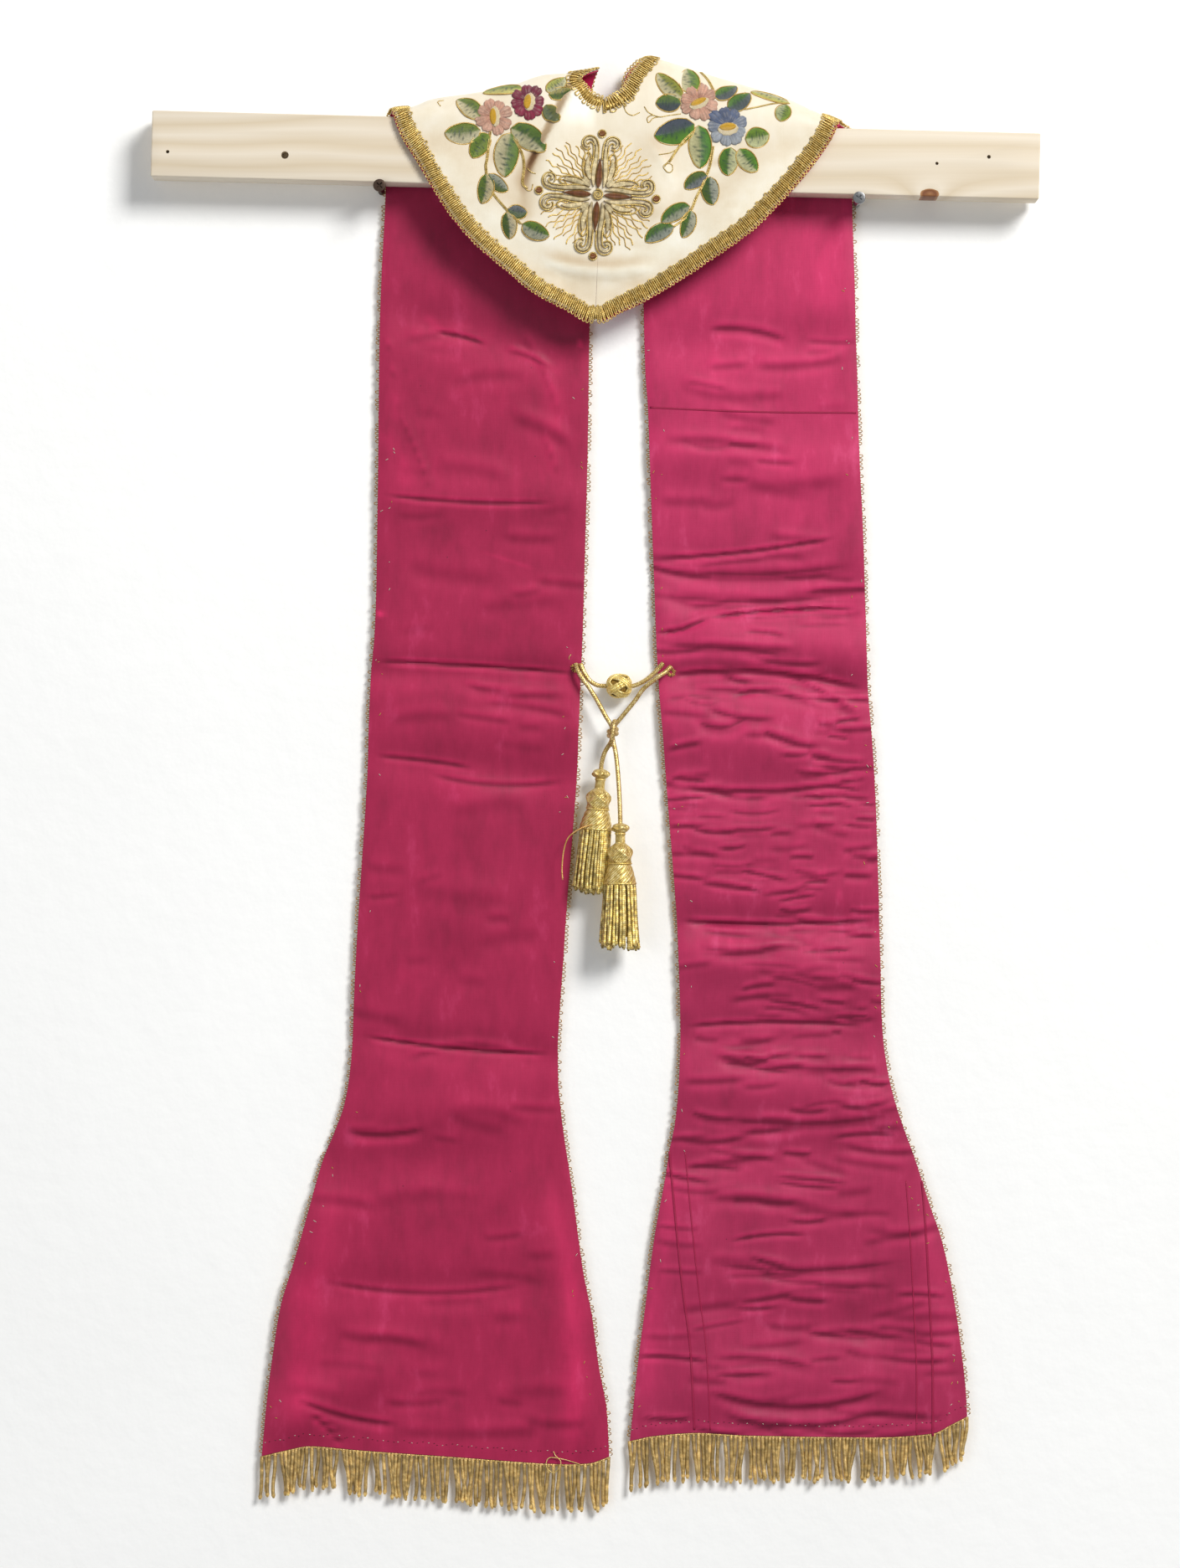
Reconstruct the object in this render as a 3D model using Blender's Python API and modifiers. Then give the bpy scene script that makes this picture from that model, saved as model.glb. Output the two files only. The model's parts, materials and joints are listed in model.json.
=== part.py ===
# A clerical stole hung over a wooden batten on two wall screws.
# Sizes in millimetres below, made metres by MM. +Z up, +X to the viewer's right, front -Y, wall y = 0.
# The cloth is followed by two measures: x across, and run along the cloth. Run 0 is the crest over the
# batten; it grows down the front to the point of the neck and falls down the back to the hem.
import bpy
import bmesh
import math
import random
from mathutils import Vector

MM = 0.001
WALL = 1.0            # thickness of each layer of cloth
GAP = 0.3             # room between pieces
FACE_IN = 0.27        # the face starts this far outside the middle of the two layers
BRAID_W = 10.0        # width of the gold galloon
BRAID_T = 1.0
BRAID_IN = FACE_IN + WALL + 0.85
PEEK = 2.0            # the lining shows this far past the braid along the front edges

BATTEN_LENGTH, BATTEN_DEPTH, BATTEN_HEIGHT = 607.0, 27.0, 45.0
BATTEN_X, BATTEN_Y, BATTEN_Z = -16.2, -21.5, 25.7
BATTEN_TILT = math.radians(1.488)
BATTEN_EDGE = 0.8

SCREW_X, SCREW_Z = 163.6, 4.25      # the left screw is SCREW_Z above the origin, the right one below
SHANK_R, HEAD_R = 2.2, 4.4
SHANK_BACK, HEAD_BACK, HEAD_FRONT = 12.0, -37.2, -40.4

LAP = 1.8             # middle of the cloth above the batten's top
SHOULDER = 6.0        # the arch over the batten springs this far below that
ARCH = 30.0           # run from the crest to where the arch springs, on either side
BACK_Y, FRONT_Y = -5.0, -38.0
FLAP_LEAN = 3.0       # the free point leans back this far
BACK_HANG = 1.2       # the bands stand this much further off the wall below the batten

# height of the arch above the batten, by place across
CREST = (
    # x, rise
    (-166, 2.0), (-143, 5.0), (-128, 11.0), (-95, 17.0), (-73, 22.5), (-51, 30.0), (-28, 32.5),
    (-14, 35.5), (5, 43.5), (19, 43.7), (43, 38.5), (65, 32.0), (94, 24.0), (117, 17.0),
    (130, 11.0), (141, 6.5), (152, 3.0), (172, 2.0),
)

# one row for each section of the left half: where its outer and its inner edge lie
LEFT = (
    # run, outer, inner
    (162, -21.5, -16.6), (155, -37.4, -16.4), (145, -57.7, -16.0), (129, -78.0, -15.3),
    (112, -98.6, -14.6), (94, -114.8, -13.9), (74, -128.0, -13.1), (57, -138.0, -12.4),
    (41, -148.2, -11.7), (29, -153.2, -11.3), (21, -155.0, -11.0), (17.5, -155.2, -18.4),
    (14, -155.3, -22.6), (10, -155.4, -27.0), (5, -155.6, -21.0), (0, -155.9, -14.5),
    (-7, -156.8, -16.4), (-14, -158.0, -19.0), (-22, -159.6, -20.2), (-30, -160.3, -20.3),
    (-70, -160.6, -19.8), (-130, -163.4, -20.2), (-168, -164.7, -20.5), (-190, -165.0, -20.8),
    (-225, -165.4, -21.2), (-265, -165.8, -22.0), (-305, -166.4, -23.1), (-345, -167.0, -24.2),
    (-378, -168.2, -25.2), (-394, -169.6, -25.9), (-404, -170.6, -26.4), (-416, -171.2, -26.9),
    (-440, -172.2, -27.8), (-470, -173.0, -28.9), (-500, -174.6, -31.0), (-532, -176.7, -33.5),
    (-566, -179.0, -36.2), (-600, -181.0, -38.4), (-640, -182.8, -41.2), (-662, -183.6, -42.2),
    (-684, -185.6, -41.9), (-703, -189.0, -40.2), (-722, -195.6, -37.8), (-742, -203.8, -34.7),
    (-765, -210.4, -31.4), (-790, -217.2, -28.2), (-815, -224.4, -24.6), (-845, -233.2, -18.6),
    (-878, -238.4, -14.2), (-910, -242.6, -8.6), (-944, -246.0, -6.8),
)
# and of the right half
RIGHT = (
    (162, -11.5, -16.2), (155, 3.1, -15.9), (149, 15.7, -15.7), (134, 40.3, -15.1),
    (117, 65.1, -14.5), (99, 90.0, -13.8), (80, 108.8, -13.1), (59, 127.1, -12.3),
    (42, 139.7, -11.6), (30, 146.8, -11.1), (21, 149.9, -10.6), (19, 150.2, 1.0),
    (17, 150.4, 5.2), (13.5, 150.6, 7.8), (9, 150.7, 12.6), (4, 150.8, 17.0), (0, 151.0, 19.0),
    (-6, 152.5, 12.0), (-12, 155.0, 5.0), (-17, 157.4, 2.6), (-23, 159.6, 6.4), (-30, 160.5, 12.0),
    (-67, 160.5, 15.4), (-130, 162.2, 16.6), (-165, 163.0, 17.3), (-195, 164.0, 18.2),
    (-218, 164.6, 19.9), (-252, 165.6, 21.1), (-289, 167.5, 22.4), (-318, 168.6, 23.4),
    (-338, 169.2, 24.2), (-358, 169.8, 24.9), (-380, 170.3, 25.7), (-396, 170.8, 26.6),
    (-406, 171.2, 27.2), (-418, 172.0, 28.0), (-444, 174.2, 30.2), (-482, 176.5, 33.0),
    (-530, 178.1, 36.8), (-556, 178.9, 38.8), (-572, 179.2, 39.9), (-598, 179.9, 41.0),
    (-622, 180.4, 41.8), (-646, 181.6, 42.3), (-668, 184.4, 41.8), (-688, 188.8, 40.8),
    (-709, 195.6, 38.7), (-730, 203.4, 34.6), (-746, 208.6, 32.2), (-764, 214.4, 28.9),
    (-784, 221.4, 25.2), (-809, 227.2, 21.6), (-844, 233.2, 17.2), (-880, 237.4, 12.4),
    (-922, 239.6, 7.4),
)
# the hems wave: run of the hem, from the outer corner (0) to the inner one (1)
HEM_LEFT = (
    # share, run
    (0.0, -947), (0.06, -943), (0.14, -939), (0.27, -941), (0.55, -944), (0.86, -947), (0.94, -946),
    (1.0, -941),
)
HEM_RIGHT = (
    (0.0, -907), (0.05, -913), (0.10, -919), (0.27, -923), (0.65, -924), (0.80, -923), (0.93, -926),
    (1.0, -930),
)
HEM_REACH = 60.0      # the wave of the hem dies out over this run
SHARES = (0.0, 0.07, 0.19, 0.34, 0.5, 0.66, 0.81, 0.93, 1.0)

# soft folds, each a ridge (+) or trough (-) towards the viewer
FOLDS = (
    # half, run, x, turn from level in degrees, half length, half width, rise
    ("front", 104, -14, 4, 55, 16, 0.5), ("front", 64, 26, 82, 40, 13, 1.6),
    ("front", 120, -60, 25, 45, 15, -1.2), ("front", 70, -105, 48, 45, 16, 1.3),
    ("front", 70, 85, -50, 50, 16, 1.2), ("front", 125, 30, -25, 40, 14, -1.0),
    ("left", -172, -88, -12, 70, 16, -2.0), ("left", -283, -95, 2, 75, 17, 1.5),
    ("left", -404, -98, 1, 78, 12, -3.0), ("left", -440, -70, 3, 60, 17, 2.0),
    ("left", -470, -100, -5, 72, 15, -1.8), ("left", -535, -105, 80, 60, 26, 1.8),
    ("left", -662, -110, -4, 76, 16, -2.4), ("left", -703, -120, 5, 60, 17, 2.0),
    ("left", -742, -150, 4, 70, 18, -1.5), ("left", -850, -218, 84, 90, 17, 3.0),
    ("left", -850, -42, -80, 95, 17, 2.8), ("left", -828, -125, 2, 85, 16, -2.0),
    ("left", -905, -195, 35, 45, 16, 2.2),
    ("right", -172, 92, 3, 70, 17, -1.6), ("right", -252, 92, -2, 75, 17, 1.6),
    ("right", -338, 98, -3, 76, 18, -3.2), ("right", -380, 110, -2, 60, 15, 2.2),
    ("right", -406, 100, -2, 74, 11, -3.2), ("right", -444, 80, -4, 60, 17, 1.8),
    ("right", -482, 120, 3, 70, 18, -1.6), ("right", -572, 108, 2, 74, 13, -2.6),
    ("right", -598, 105, -3, 70, 16, 2.2), ("right", -646, 110, 3, 75, 16, -2.0),
    ("right", -688, 120, -4, 80, 17, 1.8), ("right", -730, 110, 6, 80, 17, -1.8),
    ("right", -850, 47, 84, 85, 16, 2.6), ("right", -850, 212, -84, 85, 16, 2.6),
    ("right", -844, 125, -3, 70, 18, -1.6), ("right", -890, 125, 4, 80, 17, 1.8),
)
# the tuck that takes up the left shoulder: its line runs from the neck down to where it dies out
TUCK_TOP, TUCK_END = (8.0, -28.0), (88.0, -62.0)     # run, x
TUCK_RISE, TUCK_STEEP, TUCK_SOFT = 2.6, 5.0, 30.0

# seams of the right lining
CROSS_SEAM = -218
INNER_SEAM = (
    # run, x
    (-730, 34.6), (-773, 38.5), (-824, 43.7), (-865, 48.9), (-925, 51.8),
)
OUTER_SEAM = ((-746, 208.6), (-789, 211.5), (-830, 213.6), (-871, 215.5), (-925, 215.8))

# the raised cross at the centre back
CROSS_X, CROSS_RUN, CROSS_TURN = -15.6, 74.0, math.radians(3)
CROSS_ARM, CROSS_WAIST, CROSS_RAYS = 41.0, 12.0, 31.0
CROSS_THICK = 1.6
CROSS_IN = BRAID_IN

# fringe
STRANDS = 58
HEM_GAP = 0.5         # the heading hangs this far under the cloth
HEADING, HEADING_T = 3.2, 2.4
STRAND_W = 2.5
FRINGE_LEFT = ((0.0, 29.0), (0.5, 31.5), (1.0, 34.0))    # share across, strand length
FRINGE_RIGHT = ((0.0, 27.5), (0.5, 31.0), (1.0, 34.5))

# tie cord: routes as x, y, z
CORD_R = 1.45
CORD_LEFT = (
    (-30.0, -9.4, -321.6), (-28.4, -12.4, -326.4), (-24.6, -14.2, -332.6), (-20.6, -14.8, -338.0),
    (-15.4, -15.4, -346.4), (-9.4, -16.4, -357.4), (-5.4, -16.9, -364.2), (-4.4, -16.9, -369.6),
    (-5.6, -16.9, -375.2), (-9.8, -16.0, -382.4), (-12.0, -15.2, -390.0), (-12.3, -14.9, -395.3),
)
CORD_RIGHT = (
    (35.6, -9.4, -323.4), (31.6, -12.4, -327.4), (26.6, -14.0, -330.8), (17.0, -13.8, -338.6),
    (10.4, -13.4, -347.6), (1.6, -13.2, -358.4), (-3.2, -13.2, -364.4), (-4.4, -13.2, -369.6),
    (-4.0, -13.4, -375.2), (-2.2, -15.0, -384.0), (-0.6, -18.4, -400.0), (0.4, -21.6, -418.0),
    (0.8, -23.4, -432.6),
)
CORD_BRIDGE = (
    (-26.4, -8.9, -321.4), (-24.2, -9.8, -327.0), (-20.4, -10.4, -332.8), (-15.2, -10.8, -336.2),
    (-9.6, -10.8, -336.8), (-3.2, -10.8, -336.8), (3.2, -10.8, -336.8), (9.6, -10.8, -336.8),
    (17.0, -10.5, -333.6), (24.6, -9.7, -327.6), (30.4, -9.0, -321.0),
)
CORD_STEP = 5.2
KNOT_TURNS, KNOT_R, KNOT_STEPS = 2, 1.15, 10
KNOT_MIDDLE, KNOT_HALF = (-4.4, -15.05, -369.6), 2.6
KNOT_ACROSS, KNOT_DEEP = 3.9, 5.4
BUTTON_MIDDLE, BUTTON_LONG, BUTTON_R, BUTTON_BORE = (0.0, -10.8, -336.8), 17.0, 8.0, 2.0

# tassels: distance down from the top, radius
TASSEL_PROFILE = (
    (0.4, 4.8), (3.0, 5.6), (5.4, 4.8), (6.4, 3.3), (13.0, 3.2), (15.0, 6.2), (18.5, 8.4),
    (23.0, 8.4), (26.5, 6.6), (35.0, 9.2), (41.0, 10.6),
)
TASSEL_SIDES = 14
TASSEL_RINGS = ((10.2, 6.6), (5.8, 2.6))     # outer and inner radius of each ring of strands
TASSEL_LEFT = ((-12.3, -14.9, -397.2), (-7.6, 2.2, -80.0))     # top, and the way it hangs
TASSEL_RIGHT = ((0.8, -23.5, -434.6), (-0.6, 0.0, -80.0))
SKIRT = 46.0
SKIRT_SPREAD_LEFT, SKIRT_SPREAD_RIGHT = 1.06, 1.26

scene = bpy.context.scene
for item in list(bpy.data.objects):
    bpy.data.objects.remove(item, do_unlink=True)
stole = bpy.data.collections.new("Stole")
scene.collection.children.link(stole)


def material(name, colour, metallic, roughness):
    mat = bpy.data.materials.new(name)
    mat.use_nodes = True
    bsdf = mat.node_tree.nodes["Principled BSDF"]
    bsdf.inputs["Base Color"].default_value = (*colour, 1.0)
    bsdf.inputs["Metallic"].default_value = metallic
    bsdf.inputs["Roughness"].default_value = roughness
    return mat


CREAM = material("cream silk", (0.84, 0.70, 0.46), 0.0, 0.55)
CRIMSON = material("crimson silk", (0.42, 0.025, 0.09), 0.0, 0.5)
GOLD = material("gilt thread", (0.45, 0.29, 0.09), 0.6, 0.4)
BRIGHT = material("padded gilt work", (0.55, 0.42, 0.2), 0.7, 0.35)
SPRUCE = material("planed spruce", (0.74, 0.60, 0.42), 0.0, 0.6)
BRONZE = material("browned steel", (0.08, 0.05, 0.035), 0.9, 0.45)
ZINC = material("bright zinc", (0.6, 0.6, 0.58), 1.0, 0.3)


def keep(name, mesh, mat):
    mesh.materials.clear()
    mesh.materials.append(mat)
    obj = bpy.data.objects.new(name, mesh)
    stole.objects.link(obj)
    return obj


def closed(name, points, faces, mat):
    """A closed mesh from points in millimetres, with its faces turned outward."""
    mesh = bpy.data.meshes.new(name)
    mesh.from_pydata([Vector(p) * MM for p in points], [], faces)
    work = bmesh.new()
    work.from_mesh(mesh)
    bmesh.ops.recalc_face_normals(work, faces=work.faces)
    work.to_mesh(mesh)
    work.free()
    return keep(name, mesh, mat)


def read(table, key, column=1):
    """A smooth value from a table sorted by its first column, rising or falling."""
    rows = table if table[0][0] < table[-1][0] else table[::-1]
    if key <= rows[0][0]:
        return rows[0][column]
    if key >= rows[-1][0]:
        return rows[-1][column]
    i = max(n for n in range(len(rows) - 1) if rows[n][0] <= key)
    step = rows[i + 1][0] - rows[i][0]
    part = (key - rows[i][0]) / step
    return rows[i][column] * (1 - part) + rows[i + 1][column] * part


def ease(value):
    value = min(1.0, max(0.0, value))
    return value * value * (3 - 2 * value)


def over_batten(x, run):
    """Middle of the two layers in the upright plane at x, as y and z, before any fold."""
    rise = read(CREST, x) + SHOULDER
    top = BATTEN_Z + BATTEN_HEIGHT / 2 + LAP - (x - BATTEN_X) * math.tan(BATTEN_TILT)
    springing = top - SHOULDER
    if run >= ARCH:
        return FRONT_Y + FLAP_LEAN * ease((run - 70) / 95), springing - (run - ARCH)
    if run <= -ARCH:
        return BACK_Y - BACK_HANG * ease((-run - 70) / 60), springing - (-run - ARCH)
    angle = math.radians(abs(run) * 90 / ARCH)
    square = 0.62 + 0.38 * min(1.0, (rise - SHOULDER) / 30)
    half = (BACK_Y - FRONT_Y) / 2
    side = -1 if run > 0 else 1
    y = (BACK_Y + FRONT_Y) / 2 + side * half * math.sin(angle) ** square
    return y, springing + rise * max(0.0, math.cos(angle)) ** square


def fold_at(half, x, run):
    """How far the folds bring the cloth towards the viewer."""
    total = 0.0
    for where, at, middle, turn, length, width, rise in FOLDS:
        if where != ("front" if run > 0 else half):
            continue
        turn = math.radians(turn)
        along = (x - middle) * math.cos(turn) + (run - at) * math.sin(turn)
        across = (run - at) * math.cos(turn) - (x - middle) * math.sin(turn)
        total += rise * math.exp(-(across / width) ** 2) * (1 - ease((abs(along) / length - 0.6) / 0.7))
    total *= ease((abs(run) - ARCH) / 25)
    if half == "left" and TUCK_TOP[0] - 20 < run < TUCK_END[0] + 10:
        part = (run - TUCK_TOP[0]) / (TUCK_END[0] - TUCK_TOP[0])
        line = TUCK_TOP[1] + (TUCK_END[1] - TUCK_TOP[1]) * part
        up = ease((x - line + TUCK_STEEP) / TUCK_STEEP)
        down = 1 - ease((x - line) / TUCK_SOFT)
        total += TUCK_RISE * up * down * ease(1.05 - part) * ease((run - 14) / 24)
    return total


def place(half, x, run, out):
    """A point of the cloth, moved out by so much towards its cream side."""
    y0, z0 = over_batten(x, run - 2)
    y1, z1 = over_batten(x, run + 2)
    y, z = over_batten(x, run)
    size = math.hypot(y1 - y0, z1 - z0)
    ny, nz = (z1 - z0) / size, -(y1 - y0) / size
    out += fold_at(half, x, run) * (1 if run > 0 else -1)
    return Vector((x, y + ny * out, z + nz * out))


class Half:
    """One half of the stole: its sections, and points read between them."""

    def __init__(self, name, rows, hem):
        self.name, self.rows, self.hem = name, rows, hem
        self.side = -1 if name == "left" else 1

    def run_of(self, row, share):
        run = self.rows[row][0]
        last = self.rows[-1][0]
        return run + (read(self.hem, share) - last) * ease(1 - (run - last) / HEM_REACH)

    def columns(self, row):
        outer, inner = self.rows[row][1:3]
        return [outer + (inner - outer) * share for share in SHARES]

    def at(self, row, x, out):
        """The point at x on section row, straight between that section's columns."""
        xs = self.columns(row)
        turned = [-self.side * v for v in xs]
        key = -self.side * x
        i = max([0] + [n for n in range(len(xs) - 1) if turned[n] <= key])
        part = (key - turned[i]) / (turned[i + 1] - turned[i])
        a = place(self.name, xs[i], self.run_of(row, SHARES[i]), out)
        b = place(self.name, xs[i + 1], self.run_of(row, SHARES[i + 1]), out)
        return a.lerp(b, part)

    def on(self, x, run, out):
        """The point at x and run, between two sections."""
        runs = [row[0] for row in self.rows]
        i = max([0] + [n for n in range(len(runs) - 1) if runs[n] >= run])
        part = (runs[i] - run) / (runs[i] - runs[i + 1])
        return self.at(i, x, out).lerp(self.at(i + 1, x, out), part)


left = Half("left", LEFT, HEM_LEFT)
right = Half("right", RIGHT, HEM_RIGHT)


def wall(name, sections, mat):
    """A thin wall lofted through sections, each a list of (outer point, inner point)."""
    count = len(sections[0])
    ring = 2 * count
    points, faces = [], []
    for section in sections:
        points += [pair[0] for pair in section] + [pair[1] for pair in reversed(section)]
    for s in range(len(sections) - 1):
        for n in range(ring):
            a, b = s * ring + n, s * ring + (n + 1) % ring
            if n >= count:      # both sides are cut along the same diagonals, so layers keep apart
                a, b = b, a
            faces += [(a, b, b + ring), (a, b + ring, a + ring)]
    for s in (0, len(sections) - 1):
        for n in range(count - 1):
            a, b = s * ring + n, s * ring + ring - 1 - n
            faces.append((a, a + 1, b - 1, b))
    return closed(name, points, faces, mat)


def kept_inside(xs, lo, hi):
    """Columns moved inside lo to hi, in order, the first and last on those lines."""
    last = len(xs) - 1
    room = min(0.9, 0.9 * (hi - lo) / last)
    xs = [min(max(x, lo + room * n), hi - room * (last - n)) for n, x in enumerate(xs)]
    return [lo] + xs[1:-1] + [hi]


def cloth(name, half, low, high, mat, inset=None):
    """A layer of one half, from low to high outside its middle."""
    sections = []
    for row in range(len(half.rows)):
        xs = half.columns(row)
        if inset:
            xs[0] -= half.side * inset(row)
        order = sorted(xs)
        order = kept_inside(order, order[0] + GAP / 2, order[-1] - GAP / 2)
        sections.append([(half.at(row, x, high), half.at(row, x, low)) for x in order])
    return wall(name, sections, mat)


def front_inset(half):
    """How far, level across, the face stays inside the lining on the front edges."""
    def amount(row):
        if half.rows[row][0] < 0:
            return 0.0
        above, below = half.rows[max(row - 1, 0)], half.rows[min(row + 1, len(half.rows) - 1)]
        slope = (above[1] - below[1]) / (above[0] - below[0])
        room = abs(half.rows[row][1] - half.rows[row][2]) - 3.2
        return max(0.0, min(PEEK * math.sqrt(1 + slope * slope), room)) * ease(half.rows[row][0] / 12)
    return amount


FACE_OUT, LINING_OUT = FACE_IN + WALL, -FACE_IN
for half in (left, right):
    cloth(half.name + "_face", half, FACE_IN, FACE_OUT, CREAM, inset=front_inset(half))
cloth("left_lining", left, LINING_OUT - WALL, LINING_OUT, CRIMSON)

# the right lining is pieced: a cross seam, and two wedges where the end flares
seam_row = [row[0] for row in RIGHT].index(CROSS_SEAM)
wedge_in = [row[0] for row in RIGHT].index(-746)
wedge_out = [row[0] for row in RIGHT].index(-764)


def between_wedges(row, lo, hi):
    run = RIGHT[row][0]
    if row >= wedge_in:
        lo = max(lo, read(INNER_SEAM, run))
    if row >= wedge_out:
        hi = min(hi, read(OUTER_SEAM, run))
    return lo, hi


def inner_wedge(row, lo, hi):
    return lo, read(INNER_SEAM, RIGHT[row][0])


def outer_wedge(row, lo, hi):
    return read(OUTER_SEAM, RIGHT[row][0]), hi


def pieced(name, rows, bounds=None, trim=0.0, count=None):
    """A piece of the right lining; trim draws its first section back from the seam above it."""
    sections = []
    for row in rows:
        order = sorted(right.columns(row))
        lo, hi = order[0], order[-1]
        if bounds:
            lo, hi = bounds(row, lo, hi)
        lo, hi = lo + GAP / 2, hi - GAP / 2
        if count:
            order = order[:count] if count > 0 else order[count:]
        order = kept_inside(order, lo, hi)
        sections.append([(right.at(row, x, LINING_OUT), right.at(row, x, LINING_OUT - WALL))
                         for x in order])
    if trim:
        end = 0 if trim > 0 else -1
        near = 1 if trim > 0 else -2
        part = GAP / 2 / abs(RIGHT[rows[end]][0] - RIGHT[rows[near]][0])
        sections[end] = [(a[0].lerp(b[0], part), a[1].lerp(b[1], part))
                         for a, b in zip(sections[end], sections[near])]
    return wall(name, sections, CRIMSON)


pieced("right_lining_top", list(range(0, seam_row + 1)), trim=-1)
pieced("right_lining_body", list(range(seam_row, len(RIGHT))), between_wedges, trim=1)
pieced("right_gusset_inner", list(range(wedge_in, len(RIGHT))), inner_wedge, count=3)
pieced("right_gusset_outer", list(range(wedge_out, len(RIGHT))), outer_wedge, count=-3)


def braid(name, half, column, limit=None):
    """Galloon along one edge: column 1 is the outer edge, 2 the inner one."""
    path = [(row[column], float(row[0])) for row in half.rows if column == 1 or row[0] < 22]
    if column == 1:
        path.insert(0, (half.rows[0][2] + half.side * 0.4, float(half.rows[0][0])))
    else:       # closer steps where the neckline turns
        bend = [n for n, (x, run) in enumerate(path) if -8 < run]
        fine = [(a[0] + (b[0] - a[0]) * t / 3, a[1] + (b[1] - a[1]) * t / 3)
                for a, b in zip(path[:len(bend)], path[1:]) for t in range(3)]
        path = fine + path[len(bend):]
    sections = []
    inward = -half.side if column == 1 else half.side
    for n, (x, run) in enumerate(path):
        before, after = path[max(n - 1, 0)], path[min(n + 1, len(path) - 1)]
        dx, dr = after[0] - before[0], after[1] - before[1]
        size = math.hypot(dx, dr)
        nx, nr = -dr / size, dx / size
        if nx * inward < 0 and abs(nx) > 0.05 or abs(nx) <= 0.05 and nr * (1 if column == 2 else -1) < 0:
            nx, nr = -nx, -nr
        if -40 < run < (12 if column == 2 else 33):      # level where the cloth bends over the batten
            nx, nr = inward, 0.0
        start = PEEK * ease(run / 12) if column == 1 else 0.0
        pairs = []
        for reach in (start + GAP / 2, start + BRAID_W):
            px, pr = x + nx * reach, run + nr * reach
            pr = min(max(pr, half.rows[-1][0]), half.rows[0][0])
            seam = read(half.rows, pr, 2) + half.side * GAP / 2
            if column == 1 and half.side * (px - seam) < 0:
                px = seam
            if column == 2:
                px = max(px, read(half.rows, pr, 2) + GAP / 2) if half.side > 0 else px
                px = min(px, read(half.rows, pr, 2) - GAP / 2) if half.side < 0 else px
            low, high = BRAID_IN, BRAID_IN + BRAID_T
            if n == len(path) - 1:
                pairs.append((half.at(len(half.rows) - 1, px, high), half.at(len(half.rows) - 1, px, low)))
            else:
                pairs.append((half.on(px, pr, high), half.on(px, pr, low)))
        sections.append(pairs)
    return wall(name, sections, GOLD)


for half in (left, right):
    braid("galloon_outer_" + half.name, half, 1)
    braid("galloon_inner_" + half.name, half, 2)


def on_yoke(x, run, out):
    """A point on the front, on whichever half lies there."""
    return (left if x < read(LEFT, run, 2) else right).on(x, run, out)


def cross_reach(angle):
    """Outline of the raised cross: four arms that widen to their ends, with short rays between."""
    quarter = (angle + math.pi / 4) % (math.pi / 2) - math.pi / 4
    arm = CROSS_ARM * (1 - 0.10 * (abs(quarter) / 0.24) ** 2) if abs(quarter) < 0.24 else 0.0
    ray = CROSS_RAYS * (0.74 + 0.26 * math.cos((abs(quarter) - math.pi / 4) * 12))
    return max(arm, ray if abs(quarter) > 0.42 else CROSS_WAIST)


def raised_cross():
    levels = ((1.0, 0.0), (0.97, 0.55), (0.62, 0.9), (0.25, 1.0))     # share of reach, share of height
    angles = [math.pi / 2 * q + a for q in range(4)
              for a in (-0.62, -0.44, -0.40, -0.26, -0.23, 0.0, 0.23, 0.26, 0.40, 0.44, 0.62, 0.785)]
    points = [on_yoke(CROSS_X, CROSS_RUN, CROSS_IN), on_yoke(CROSS_X, CROSS_RUN, CROSS_IN + CROSS_THICK)]
    faces = []
    for share, height in levels:
        for angle in angles:
            reach = cross_reach(angle) * share
            x = CROSS_X + reach * math.cos(angle + CROSS_TURN)
            run = CROSS_RUN - reach * math.sin(angle + CROSS_TURN)
            points.append(on_yoke(x, run, CROSS_IN + CROSS_THICK * height))
    count = len(angles)
    for n in range(count):
        m = (n + 1) % count
        faces.append((0, 2 + m, 2 + n))
        for level in range(len(levels) - 1):
            a = 2 + level * count
            faces.append((a + n, a + m, a + count + m, a + count + n))
        a = 2 + (len(levels) - 1) * count
        faces.append((1, a + n, a + m))
    return closed("cross", points, faces, BRIGHT)


raised_cross()


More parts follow.
